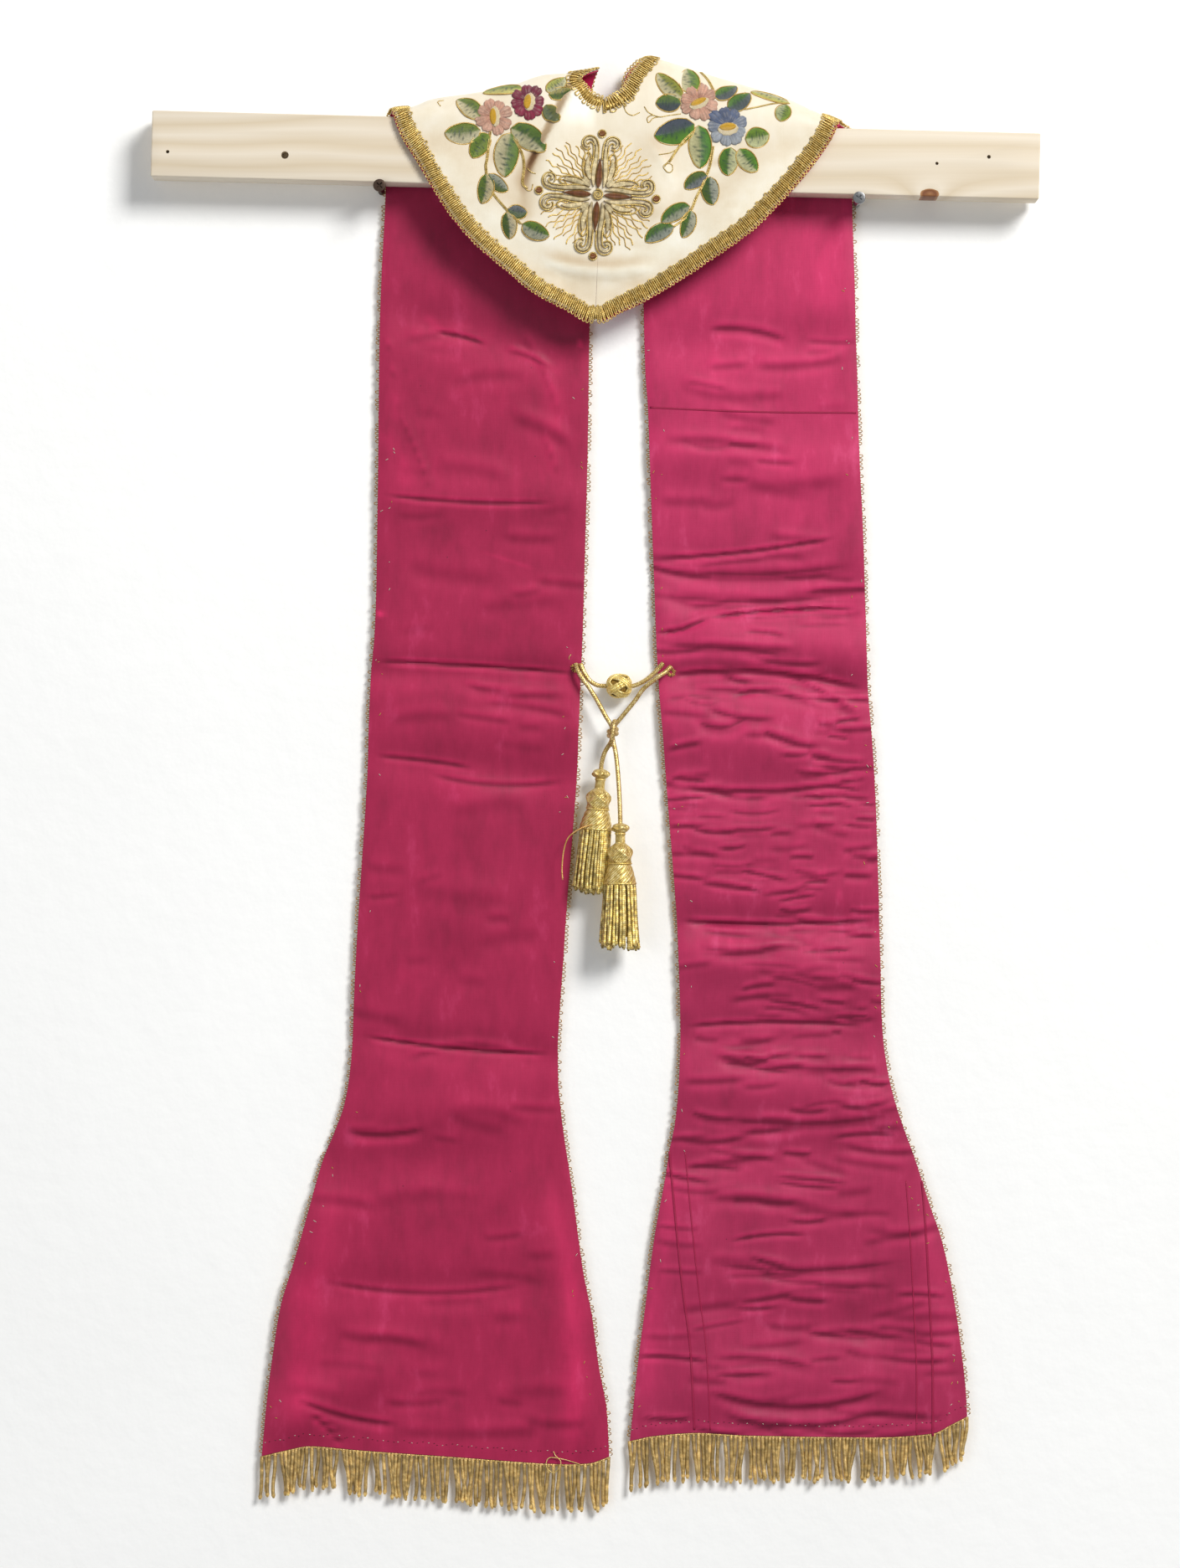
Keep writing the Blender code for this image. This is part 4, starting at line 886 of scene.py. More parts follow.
core = thread(BUTTON_AT + np.stack([t * BUTTON_CORE_LONG, 0 * t, 0 * t], axis=1),
              BUTTON_CORE_R * np.sqrt(1.02 - t * t), up=VIEWER, dye=(0.26, 0.21, 0.13))
button = rolled("turks_head_button", ribbons + [core], 12, BRIGHT_GILT, ["tie_button"])

HEAD = (
    # distance down from the top, radius
    (-0.6, 2.2), (0.4, 4.4), (1.6, 5.3), (3.4, 5.5), (4.8, 4.9), (5.6, 3.5), (8.0, 3.2), (12.6, 3.3), (13.8, 4.6),
    (15.4, 6.4), (18.5, 7.8), (22.5, 8.1), (25.4, 7.4), (27.2, 7.4), (30.0, 8.4), (35.0, 9.8), (40.5, 10.9),
    (42.0, 10.0),
)
HEAD_RINGS = (
    # radius and distance down of a wire wound round the head, its half thickness
    (3.3, 6.6, 0.6), (7.7, 27.0, 0.6), (10.5, 40.6, 0.9),
)
SKIRT_FROM, SKIRT, SHADE_CONE = 40.5, 45.0, 37.0      # distance down to the skirt, its length, and its dark cone's, which is painted shade
INNER_STRANDS = 10    # strands that hang inside the outer ring of them
ROOT_R, INNER_R, SHADE_CONE_R = 10.0, 6.4, 8.3        # how far from the middle both start, and the dark cone's radius
STRAND_STEPS = 24


def head_relief(angle, run):
    """Knotted collar, corded neck, netted ball and a roped flare, one under the other."""
    knots = np.maximum(np.cos(5 * angle + run * 1.3), np.cos(5 * angle - run * 1.3))
    collar = 0.20 * knots * np.exp(-((run - 3.4) / 2.4) ** 2)
    neck = 0.04 * np.cos(16 * angle) * ease((run - 6) / 1.5) * ease((14 - run) / 1.5)
    net = np.maximum(np.cos(4 * angle + run * 0.66), np.cos(4 * angle - run * 0.66)) ** 3
    ball = 0.13 * net * ease((run - 14) / 1.5) * ease((28 - run) / 2)
    flare = 0.030 * np.cos(15 * angle + run * 1.6) * ease((run - 28) / 2)
    return 1 + collar + neck + ball + flare


def fluted(angle, run):
    """The fluted dark cone inside a tassel's skirt: a painted shade among its inner strands."""
    return 1 + 0.10 * np.cos(15 * angle + run * 0.09)


def tassel(name, top, way, spread, strands, node, seed):
    """A moulded head and a skirt of strands: it hangs along way and spreads to so many times its root."""
    chance = random.Random(seed)
    top, way = np.array(top), unit(np.array(way, float))
    side = unit(np.cross(way, (0, 1, 0)))
    deep = np.cross(way, side)
    d = np.linspace(HEAD[0][0], HEAD[-1][0], 104)
    head = thread(top + way * d[:, None], follow(HEAD, d), up=VIEWER, lobes=head_relief)
    angle = np.linspace(0, 2 * math.pi, 40)
    threads = []
    for size, drop, wire_r in HEAD_RINGS:
        ring = top + way * drop + np.outer(np.cos(angle), side) * size + np.outer(np.sin(angle), deep) * size
        threads.append(thread(ring, wire_r, up=way, twist=0.12, dye=(0.56, 0.55, 0.5)))
    # a dark cone inside the skirt: painted shade for the depth among its strands
    d = np.linspace(0, SHADE_CONE, 24)
    flared = SHADE_CONE_R + SHADE_CONE_R * (spread - 1) * (d / SKIRT) ** 0.7
    threads.append(thread(top + way * (SKIRT_FROM - 0.5 + d[:, None]), flared, up=VIEWER, lobes=fluted,
                          dye=(0.34, 0.29, 0.20)))
    outer = strands - INNER_STRANDS
    t = np.linspace(0, 1, STRAND_STEPS)[:, None]
    for k in range(strands):
        if k < outer:
            angle, size = 2 * math.pi * k / outer + chance.uniform(-0.05, 0.05), ROOT_R - 0.5 * (k % 2)
        else:
            angle, size = 2 * math.pi * (k - outer) / INNER_STRANDS + chance.uniform(-0.2, 0.2), INNER_R
        outward = (side * math.cos(angle) + deep * math.sin(angle)) * size
        length = SKIRT + chance.uniform(-4, 1.5)
        phase = chance.uniform(0, 6.28)
        sway = (side * np.sin(5 * t + phase) + deep * np.cos(4 * t + phase)) * 0.55 * t
        path = top + way * SKIRT_FROM + outward + way * length * t + outward * (spread - 1) * t ** 0.7 + sway
        wide = spread ** (0.8 * t[:, 0])
        wide[-2:] *= (1.3, 0.6)
        shade = chance.uniform(0.42, 0.72)
        sparkle = np.array([chance.uniform(0.45, 1.45) for _ in t])[:, None, None]
        dye = np.array((shade, shade, shade * 0.96)) * sparkle
        threads.append(thread(path, wide, wide * 0.8, up=VIEWER, twist=0.16, dye=dye))
    body = rolled(name + "_head", [head], 64, CORDED, [node])
    return [body, rolled(name + "_skirt", threads, 8, BRIGHT_GILT, [node])]


left_tassel = tassel("tassel_left", (-12.25, -14.9, -394.6), (-7.6, 2.2, -80.0), 1.10, 46, "tassel_left", 5)
right_tassel = tassel("tassel_right", (0.8, -23.5, -431.8), (-0.6, 0.0, -80.0), 1.26, 46, "tassel_right", 6)
# two wires have come loose, one from each tassel
wires = [smooth_route(route, 0.8) for route in (
    ((-18.5, -24.5, -432.0), (-26.0, -25.5, -434.5), (-34.5, -24.0, -440.5), (-38.0, -22.0, -450.0),
     (-39.2, -20.5, -462.0), (-38.8, -20.0, -470.0)),
    ((10.0, -23.0, -478.0), (10.6, -22.6, -496.0), (11.4, -22.0, -512.0)))]
rolled("loose_tassel_wires", [thread(path, r, dye=(0.62, 0.5, 0.46)) for path, r in zip(wires, (0.5, 0.3))], 6, GILT)

for (obj, path), far_end, carried in (
        (cord_left, "fitting", [slip_knot, left_tassel[0]]), (cord_right, "fitting", [right_tassel[0]]),
        (cord_bridge, "object", [button])):
    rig.cord(obj, exit=tuple(path[0] * MM), length=length_of(path) * MM, diameter=2 * CORD_R * MM, far_end=far_end,
            stiffness="limp", lay="hanging", path=[tuple(p * MM) for p in path[::6]] + [tuple(path[-1] * MM)],
            with_pieces=carried)

# ---- the cloth -----------------------------------------------------------------------------------

CRIMSON, crimson = finish("crimson silk lining, plain woven and glazed")
CREAM, cream = finish("cream silk satin")
FACE_OUT, LINING_OUT, SILK = 0.95, -0.85, 0.45      # the layers' distances from their middle, their thickness
FACE_ROWS = ((26, 2.0), (6, 0.8), (-34, 2.0), (-2000, 5.0))         # from this run up, the spacing of rows
LINING_ROWS = ((26, 4.0), (6, 1.2), (-34, 3.0), (-2000, 1.6))
FACE_COLUMNS, LINING_COLUMNS = 68, 46
SEWN_BELOW, SEWN_OVER = 18, 4      # run from which the two halves are sewn together, and over how much
SEAM_GAP = 0.12                    # how far each half stays off that seam
EDGE_IN, EDGE_SHARE = 4.5, 0.42    # near an edge the layers close on each other, to this share of their distance
WALL_GAP = 1.3                     # how far the middle of the layers stays off the wall at least
DYE = 0.5                          # the dye that leaves a material's colour as it is
PALER_FROM, PALER_OVER = -900, 1100  # the lining is made paler from this run up, over so much of it
BROWNER_WHEN_DARK = (0.8, 1.15, 1.6)           # powers that turn the satin's darker places brown, its stains and its painted shade alike
CUT = {
    # half: width and length that it was cut in, its lining's nodes, how much paler that is made at the top
    "left": ((0.239, 1.114), ["left_lining"], 0.0),
    "right": ((0.233, 1.086), ["right_lining_top", "right_lining_body", "right_gusset_inner", "right_gusset_outer"],
              0.45),
}


def eased_folds(half, x, run):
    """Folds of the satin next to the wall: stiffer than the lining, it bridges small creases behind them."""
    deepest = np.min([fold_at(half, x, run + d) for d in (-1.7, 0.0, 1.7)], axis=0)

    def spread(values, reach, how):
        for axis in (0, 1):
            pad = [(reach, reach) if k == axis else (0, 0) for k in (0, 1)]
            wide = np.pad(values, pad, mode="edge")
            size = values.shape[axis]
            values = how([np.take(wide, np.arange(d, d + size), axis=axis) for d in range(2 * reach + 1)], axis=0)
        return values

    soft = np.minimum(spread(deepest, 3, np.mean), spread(deepest, 1, np.min) + 1.0)
    return spread(soft, 1, np.mean)


def silk_layer(name, half, out, steps, columns, inset, mat, slot, nodes, fade=0.0):
    """A layer of one half, cut as a grid: steps are (run, row spacing) down the cloth. Fade is how much paler the silk
    is made towards the top."""
    table, _, side = HALVES[half]
    runs = [float(table[0][0])]
    while runs[-1] > table[-1][0]:
        spacing = next(step for run, step in steps if runs[-1] > run)
        runs.append(max(runs[-1] - spacing, table[-1][0]))
    runs = np.array(runs)[:, None]
    share = np.linspace(0, 1, columns + 1)[None, :]
    outer, inner = follow(table, runs, 1), follow(table, runs, 2)
    # the level room that the face leaves along the slanted front edges, where the lining shows
    slope = np.gradient(outer[:, 0], runs[:, 0])[:, None]
    room = np.minimum(inset * np.sqrt(1 + slope ** 2), np.maximum(np.abs(outer - inner) - 3.2, 0)) * ease(runs / 12)
    outer = outer - side * room
    span = np.abs(inner - outer)
    sewn = ease((runs - SEWN_BELOW) / SEWN_OVER)
    x = outer + (inner - outer) * share - side * SEAM_GAP * share * sewn
    run = runs + hem_shift(half, share, runs)
    edge = np.minimum(share * span, (1 - share) * span + 4.0 * sewn)
    lift = out * (EDGE_SHARE + (1 - EDGE_SHARE) * ease(edge / EDGE_IN))
    if out > 0:
        lift = lift + (fold_at(half, x, run) - eased_folds(half, x, run)) * (run < -ARCH)
    places = on_cloth(half, x, run, lift)
    places[..., 1] = np.where(run < -ARCH, np.minimum(places[..., 1], out / 2 - WALL_GAP), places[..., 1])
    flat = np.stack([x * MM, run * MM], axis=-1)
    # painted shade and light: creases and slopes that face down are painted darker, ridges and slopes that face up
    # paler, and on the yoke the left of the tuck's step gets a painted shadow
    above, here, below = (fold_at(half, x, run + d) for d in (2, 0, -2))
    crease_shade, lean = above + below - 2 * here, np.clip((above - below) / 4, -0.12, 0.3)
    step = (fold_at(half, x + 1.5, run) - fold_at(half, x - 1.5, run)) / 3
    lean = lean + 0.45 * np.clip(step, 0, 0.5) * (run > 0)
    brightness = np.clip(1 - 0.45 * crease_shade - 1.2 * lean, 0.5, 1.2)
    if out < 0:
        pale = DYE * (1 + fade * ease((run - PALER_FROM) / PALER_OVER)) * brightness * (1 + painted_light_and_stains_at(half, x, run))
        dye = pale.reshape(-1, 1) * np.array([(1.0, 1.0 + fade, 1.0 + 0.4 * fade)])
    else:         # the satin keeps the painted shade and light of its folds on the yoke only, adds its stains, worn spots and painted shade, and its darker places turn brown
        brightness = 1 + (brightness - 1) * ease((run + 20) / 10) + painted_light_and_stains_at("satin", x, run)
        dye = DYE * brightness.reshape(-1, 1) ** np.array([BROWNER_WHEN_DARK])
    obj = laid_grid(name, columns, len(runs) - 1, places.reshape(-1, 3), flat.reshape(-1, 2), dye)
    wall = obj.modifiers.new("cloth", "SOLIDIFY")
    wall.thickness, wall.offset = SILK * MM, 0
    only(obj)
    bpy.ops.object.modifier_apply(modifier="cloth")
    bpy.ops.object.shade_smooth_by_angle(angle=math.radians(50))
    area = float(np.trapz(span[:, 0], -runs[:, 0])) * MM * MM
    return belongs(obj, mat, slot, nodes), area


sheets = []
for half, (size, linings, paler_at_top) in CUT.items():
    face, area = silk_layer(half + "_silk_face", half, FACE_OUT, FACE_ROWS, FACE_COLUMNS, PEEK, CREAM, "cream_silk",
                            [half + "_face"])
    sheets.append((face, size, area, half))
    lining, area = silk_layer(half + "_silk_lining", half, LINING_OUT, LINING_ROWS, LINING_COLUMNS, 0, CRIMSON,
                              "crimson_silk", linings, paler_at_top)
    sheets.append((lining, size, area, half))

# ---- galloon: a gilt wire worked to and fro, with longer loops along both edges -------------------

GALLOON_W = 9.2
BAR_PITCH = 1.42      # from one pass of the wire to the next
WIRE_R, WIRE_SIDES = 0.46, 5
LOOP_OUT, LOOP_IN = 1.8, 1.2       # how far its turns stand past the two edges
LOOP_BAND, BAND_FROM = 2.2, -25    # and past the bands' edges, from this run down
LOOP_LOST, LOOP_THIN = 0.28, 0.75  # share of the bands' loops that are pressed flat, and how thin the others are
BAR_OUT, TAPE_IN = 2.0, 0.6        # how high the wire lies over the middle of the cloth, and its tape under it
TURN_R = 0.35                      # run of half a turn
EDGE_STEP = 0.8
CENTRE_X = -10.9                   # the centre seam at the neck
SMOOTHED = 23                      # points over which an edge's direction is evened out


def edge_points(half, column, first, last):
    """One edge of the cloth from the centre seam on, as points (x, arc, run)."""
    table = HALVES[half][0]
    run = np.arange(first, last, -EDGE_STEP)
    x = follow(table, run, column)
    run = run + hem_shift(half, 0.0 if column == 1 else 1.0, run)
    seam = np.array([follow(table, first, 2) if column == 1 else CENTRE_X, first + 1.2])
    count = max(2, int(abs(x[0] - seam[0]) / EDGE_STEP))
    lead = np.linspace(seam, (x[0], run[0]), count, endpoint=False)
    x, run = np.concatenate([lead[:, 0], x]), np.concatenate([lead[:, 1], run])
    return np.stack([x, arc_of(x, run), run], axis=1)


def edge_line(half, column, first):
    """An edge as points, its lengths from the seam and its inward normals, which turn evenly round the seam."""
    table, _, side = HALVES[half]
    other = "right" if half == "left" else "left"
    lead = edge_points(other, column, first, first - 9)[::-1]
    line = np.concatenate([lead, edge_points(half, column, first, table[-1][0])])
    x, arc, _ = line.T
    # the crest slopes, so x and arc lean towards each other: shear and stretch set them square
    near, far = (np.stack(over_batten(x + d, run_of(x + d, arc))) for d in (-1.0, 1.0))
    over = (far - near) / 2
    near, far = (np.stack(over_batten(x, run_of(x, arc + d))) for d in (-1.0, 1.0))
    down = unit((far - near).T).T
    shear = (over * down).sum(0)
    stretch = np.sqrt(np.maximum(1 + (over ** 2).sum(0) - shear ** 2, 0.5))
    dx, down_by = np.gradient(x), np.gradient(arc)
    way = np.stack([stretch * dx, down_by + shear * dx], axis=1)
    gone = np.concatenate([[0], np.cumsum(np.linalg.norm((way[1:] + way[:-1]) / 2, axis=1))])
    kernel = np.hanning(SMOOTHED)
    way = np.pad(way, ((SMOOTHED // 2, SMOOTHED // 2), (0, 0)), mode="edge")
    way = unit(np.stack([np.convolve(way[:, k], kernel, mode="valid") for k in (0, 1)], axis=1))
    inward = np.stack([way[:, 1], -way[:, 0]], axis=1) * side * (1 if column == 1 else -1)
    inward[:, 0] /= stretch
    inward[:, 1] -= shear * inward[:, 0]
    skip = len(lead)
    return line[skip:], gone[skip:] - gone[skip], inward[skip:]


def satin_room(half, x, run):
    """How much further towards the wall the satin lies than the lining's folds, along its galloon."""
    close = [fold_at(half, x + dx, run + dr) for dx, dr in ((0, 0), (0, -6), (0, 6), (-3, 0), (3, 0))]
    wide = np.mean([close[0]] + [fold_at(half, x, run + d) for d in (-16, -11, 11, 16)] + close[1:3], axis=0)
    return (close[0] - np.minimum(np.min(close, axis=0), wide)) * (run < -ARCH)


def galloon(name, half, column, first, nodes, seed):
    """The braid along one edge: its wire, worked to and fro, and the tape that it is sewn on."""
    chance = random.Random(seed)
    table, _, side = HALVES[half]
    line, gone, inward = edge_line(half, column, first)

    def at(s, reach):
        """Where a point lies: so far along the edge, and so far in from it, as x and run."""
        x, arc, edge_run, nx, na = (np.interp(s, gone, v) for v in (*line.T, *inward.T))
        if column == 1:
            reach = reach + PEEK * ease(edge_run / 12) * ease((first + 1.5 - edge_run) / 8)
        px = x + nx * reach
        run = run_of(px, arc + na * reach)
        seam = follow(table, run, 2) if column == 1 else CENTRE_X       # the two halves meet at the seam
        return np.where((run > 19) & (side * (px - seam) < 0.2), seam + side * 0.2, px), run

    def laid(s, reach, rise, nearest):
        """Points along and in from the edge, so high over the cloth, no nearer the wall; and their tops."""
        x, run = at(s, reach)
        rise = rise + satin_room(half, x, run)
        path = on_cloth(half, x, run, rise)
        tops = unit(on_cloth(half, x, run, rise + 1) - path)
        path[:, 1] = np.where(run < -ARCH, np.minimum(path[:, 1], nearest), path[:, 1])
        return path, tops

    s, reach, dye, sizes = [], [], [], []
    for n in range(int(gone[-1] / BAR_PITCH)):
        here = (n + 0.1) * BAR_PITCH + chance.uniform(-0.14, 0.14) * (n > 0)
        there = here + BAR_PITCH / 2
        band = float(np.interp(here, gone, line[:, 2])) < BAND_FROM
        if n % 2:       # towards the edge, and round
            big = LOOP_BAND if band else LOOP_OUT
            loop = chance.uniform(0.75, 1.15) * (big if column == 1 or band else 0.6 * big)
            if band and chance.random() < LOOP_LOST:
                loop = 0.2
            turn, foot = -1, 0.0
        else:
            wide = n % 6 == 2 if column == 1 else n % 4 == 2
            loop = chance.uniform(0.7, 1.2) * LOOP_IN if wide else chance.uniform(0.1, 0.4)
            turn, foot = 1, GALLOON_W
        slip = 0.25 if loop > 0.6 else 0.0
        s += [here, here, here - slip, there - TURN_R, there + TURN_R, here + BAR_PITCH + slip]
        reach += [GALLOON_W / 2 - turn * 3.2, GALLOON_W / 2 + turn * 1.5, foot + turn * loop * 0.5,
                  foot + turn * loop, foot + turn * loop, foot + turn * loop * 0.5]
        shade = chance.uniform(0.52, 0.74)
        # the loops along the bands' edges are thinner, and dyed dark red: painted shade and a painted reflection of the
        # crimson beside them
        loose = band and turn < 0
        end = (0.36, 0.25, 0.22) if loose else (shade, shade, shade)
        dye += [(shade, shade * 0.98, shade * 0.92)] * 2 + [end] * 4
        sizes += [WIRE_R] * 2 + [WIRE_R * (LOOP_THIN if loose else 1.0)] * 4
    s, reach = np.array(s), np.array(reach)
    rise = BAR_OUT + 0.35 * np.sin(math.pi * np.clip(reach / GALLOON_W, 0, 1)) + 0.4 * np.clip(reach, -3, 0)
    path, tops = laid(s, reach, rise, -0.6)
    wire_thread = thread(path, sizes, up=tops, dye=np.array(dye)[:, None, :])
    path, tops = laid(np.arange(0.5, gone[-1] - 0.5, 1.6), GALLOON_W / 2, BAR_OUT - TAPE_IN, -1.0)
    tape = thread(path, GALLOON_W / 2 - 1.0, 0.3, up=tops, dye=(0.42, 0.37, 0.27))
    return rolled(name, [wire_thread, tape], WIRE_SIDES, GILT, nodes)


galloons = {}
for half in HALVES:
    galloons[half] = [
        galloon("galloon_outer_" + half + "_wire", half, 1, 161.0, ["galloon_outer_" + half], 3),
        galloon("galloon_inner_" + half + "_wire", half, 2, 20.2, ["galloon_inner_" + half], 4)]

# ---- fringe --------------------------------------------------------------------------------------

BULLION, bullion = finish("close coiled gilt wire bullion, browned")
BULLION_R = 1.28
FRINGE = {
    # half: strands, length by share from the outer corner, seed
    "left": (80, ((0.0, 29.5), (0.5, 32.0), (1.0, 34.5)), 21),
    "right": (78, ((0.0, 28.0), (0.5, 31.5), (1.0, 35.0)), 34),
}
STRAND_RINGS, HEAD_POINTS = 17, 220


def fringe(half):
    """Bullion strands hung in uneven bunches from a narrow heading under the hem."""
    count, lengths, seed = FRINGE[half]
    chance = random.Random(seed)
    table, hem, _ = HALVES[half]
    outer, inner = table[-1][1:]
    bunches, weights = [], []
    while sum(bunches) < count:
        bunches.append(min(chance.randint(2, 9), count - sum(bunches)))
        weights += [chance.uniform(0.75, 1.2) for _ in range(bunches[-1] - 1)] + [chance.uniform(1.3, 2.3)]
    shares = (np.cumsum(weights) - np.array(weights) * 0.5 - 0.4) / (sum(weights) - 1.2)
    roots = on_cloth(half, outer + (inner - outer) * shares, follow(hem, shares), 0.2) - (0, 0, 0.3)
    threads, n = [], 0
    t = np.linspace(0, 1, STRAND_RINGS)
    for bunch in bunches:
        group = range(n, n + bunch)
        middle = np.mean([roots[k][0] for k in group]) + chance.uniform(-1.6, 1.6)
        pull = chance.uniform(0.05, 0.4)
        for k in group:
            length = float(follow(lengths, shares[k])) + chance.uniform(-3.0, 1.4)
            aim = (middle - roots[k][0]) * pull + chance.uniform(-2.2, 2.2)
            swing, phase = chance.uniform(0.3, 1.6), chance.uniform(0, 6.28)
            out = chance.uniform(-1.2, 0.9)
            path = roots[k] + np.stack([
                aim * ease(t * 0.9 + 0.05) + swing * t * np.sin(4.5 * t + phase),
                out * t + 0.5 * np.sin(4 * t + phase) * t, -length * t], axis=1)
            size = BULLION_R * (1 + 0.05 * np.sin(t * 22 + phase))
            size[-3:] *= (0.92, 1.12, 0.55)
            shade = chance.uniform(0.40, 0.56)
            # the tips are painted paler: a painted highlight
            bright = np.where(t > 0.93, 1.7, 1.0)[:, None, None]
            brightness = 1 + 0.6 * (chance.random() < 0.3) * np.clip(np.sin(t * 7 + phase), 0, 1)[:, None, None] ** 3
            sparkle = np.array([chance.uniform(0.66, 1.38) for _ in t])[:, None, None]
            dye = np.array((shade, shade * 0.97, shade * 0.92)) * bright * brightness * sparkle
            threads.append(thread(path, size, size * 0.92, up=VIEWER, dye=dye))
        n += bunch
    s = np.linspace(0.002, 0.998, HEAD_POINTS)
    head = on_cloth(half, outer + (inner - outer) * s, follow(hem, s), 0.2) - (0, 0, 0.9)
    glints = 0.42 + 0.55 * np.array([chance.random() ** 4 for _ in s])
    threads.append(thread(head, 0.9 + 0.35 * np.sin(s * 611), 1.0, up=VIEWER,
                          dye=glints[:, None, None] * np.array((1.0, 0.97, 0.85))))
    return rolled("bullion_fringe_" + half, threads, 8, BULLION, ["fringe_" + half])


fringes = {half: fringe(half) for half in FRINGE}

for obj, size, area, half in sheets:
    face = "face" in obj.name
    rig.sheet(obj, flat=size, held="hung", area=area, rests_on=["batten"] if not face else [half + "_silk_lining"],
             with_pieces=galloons[half] + [fringes[half]] if face else [])

# ---- sewing on the lining: seams, eyelets, thread ends and the hem's stitches ----------------------

def on_lining(half, points, out=0.0):
    """Points (x, run) on the lining's near side, and the way it faces the viewer."""
    x, run = np.array(points, float).T
    low = on_cloth(half, x, run, LINING_OUT - SILK / 2 - out)
    return low, unit(on_cloth(half, x, run, LINING_OUT - SILK / 2 - out - 1) - low)


def welt(points, wide, deep, shade):
    """A seam allowance felt through the silk, as a low soft ridge."""
    path, tops = on_lining("right", smooth_route(points, 2.0), 0.05)
    return thread(path, wide, deep, up=tops, dye=(shade, shade, shade))


def stitch(half, x, run, length, turn, radius, dye, out=0.3):
    """A stitch that stands out in its middle and goes into the silk at both ends."""
    t = np.linspace(-0.5, 0.5, 5)
    flat = np.stack([x + length * t * math.cos(turn), run + length * t * math.sin(turn)], axis=1)
    path, tops = on_lining(half, flat, out)
    return thread(path - tops * (2.4 * out * (t * t)[:, None]), radius, up=tops, dye=dye)


SEAM_SHADE, SEAM_FOOT, ALLOWANCE = 0.44, -921.0, 11.0      # dye, run of the gussets' ends, the turning's width
start, end = ((float(follow(RIGHT, CROSS_SEAM, k)) + d, CROSS_SEAM) for k, d in ((2, 1.5), (1, -1.5)))
welts = [welt((start, ((start[0] + end[0]) / 2, CROSS_SEAM - 1.2), end), 0.7, 0.3, SEAM_SHADE)]
for seam, wide in ((INNER_SEAM, ALLOWANCE), (OUTER_SEAM, -ALLOWANCE)):
    line = [(x, run) for run, x in seam[1:-1]] + [(seam[-1][1], SEAM_FOOT)]
    welts.append(welt(line, 0.8, 0.35, SEAM_SHADE))
    welts.append(welt([(x + wide, run) for x, run in line], 0.55, 0.22, SEAM_SHADE + 0.03))
rolled("lining_seam_welts", welts, 8, CRIMSON, slot="crimson_silk")

SEWN, sewn_thread = finish("silk sewing thread")
chance = random.Random(41)
stitches = []
RED_THREAD, PALE_THREAD, GOLD_THREAD = (tone(code) for code in ("8c1c40", "efe2cf", "e0b458"))
EYELETS = {"left": (-30.0, -398.5), "right": (35.6, -399.8)}
HEM_PRICKS, EYELET_STITCHES = 70, 30
for half, count in (("left", 46), ("right", 60)):
    table, hem, side = HALVES[half]
    for n in range(count):       # ends of the galloon's stitches, come through near the edges
        run = chance.uniform(-930, -130)
        outer, inner = (float(follow(table, run, k)) for k in (1, 2))
        margin = chance.uniform(2.0, 11.0)
        x = outer - side * margin if chance.random() < 0.6 else inner + side * margin
        if run < table[-1][0] + 4:
            continue
        colour = PALE_THREAD if chance.random() < 0.6 else GOLD_THREAD
        stitches.append(stitch(half, x, run, chance.uniform(0.7, 2.4), chance.uniform(0, math.pi), 0.22, colour * 0.9))
    outer, inner = table[-1][1:]
    for n in range(HEM_PRICKS):  # the hem is caught down in small pricks
        share = (n + chance.uniform(0.2, 0.8)) / HEM_PRICKS
        run = float(follow(hem, share)) + chance.uniform(7.0, 9.0)
        colour = RED_THREAD * 0.45 if n % 3 else PALE_THREAD * 0.8
        stitches.append(stitch(half, outer + (inner - outer) * share, run, 0.9, chance.uniform(-0.4, 0.4), 0.24,
                               colour, 0.1))
for half, (x, run) in EYELETS.items():
    for n in range(EYELET_STITCHES):      # a worked eyelet: long stitches out from the hole
        turn = n / EYELET_STITCHES * 2 * math.pi + chance.uniform(-0.08, 0.08)
        reach = chance.uniform(1.9, 2.6)
        colour = GOLD_THREAD if n % 5 in (1, 2, 4) else RED_THREAD
        stitches.append(stitch(half, x + reach * math.cos(turn), run + reach * math.sin(turn), chance.uniform(1.6, 2.6),
                               turn, 0.28, colour, 0.35))
rolled("thread_ends_and_eyelets", stitches, 4, SEWN, slot="crimson_silk")

# ends of gilt thread that hang loose: at the left hem, the right edge and the left eyelet
trailing = [smooth_route(route, 0.8) for route in (
    ((-46.0, -5.6, -861.0), (-44.0, -9.0, -866.0), (-40.0, -10.5, -871.0), (-44.5, -11.0, -878.0),
     (-50.0, -10.0, -874.0), (-48.0, -9.0, -868.0), (-38.0, -9.5, -869.0), (-27.0, -8.0, -872.5)),
    ((229.0, -5.0, -806.0), (232.5, -7.0, -810.5), (233.0, -8.0, -817.0)),
    ((-33.0, -5.0, -321.0), (-34.5, -7.0, -317.5), (-33.0, -8.0, -315.0)))]
rolled("trailing_gilt_threads", [thread(path, 0.3) for path in trailing], 6, BRIGHT_GILT)

# ---- batten and screws ---------------------------------------------------------------------------

PINE, pine = finish("sawn and planed spruce")
KNOT_IN_WOOD, KNOT_SIZE = (212.0, -1.2), (8.0, 4.6)      # its centre's x and z; its half length and half height
ARRIS = 1.0
HOLES = (
    # x, z, radius, depth
    (-308.5, 27.8, 1.2, 8), (-228.4, 25.5, 2.6, 11), (217.0, 19.8, 1.1, 8), (252.5, 24.3, 1.3, 8),
)


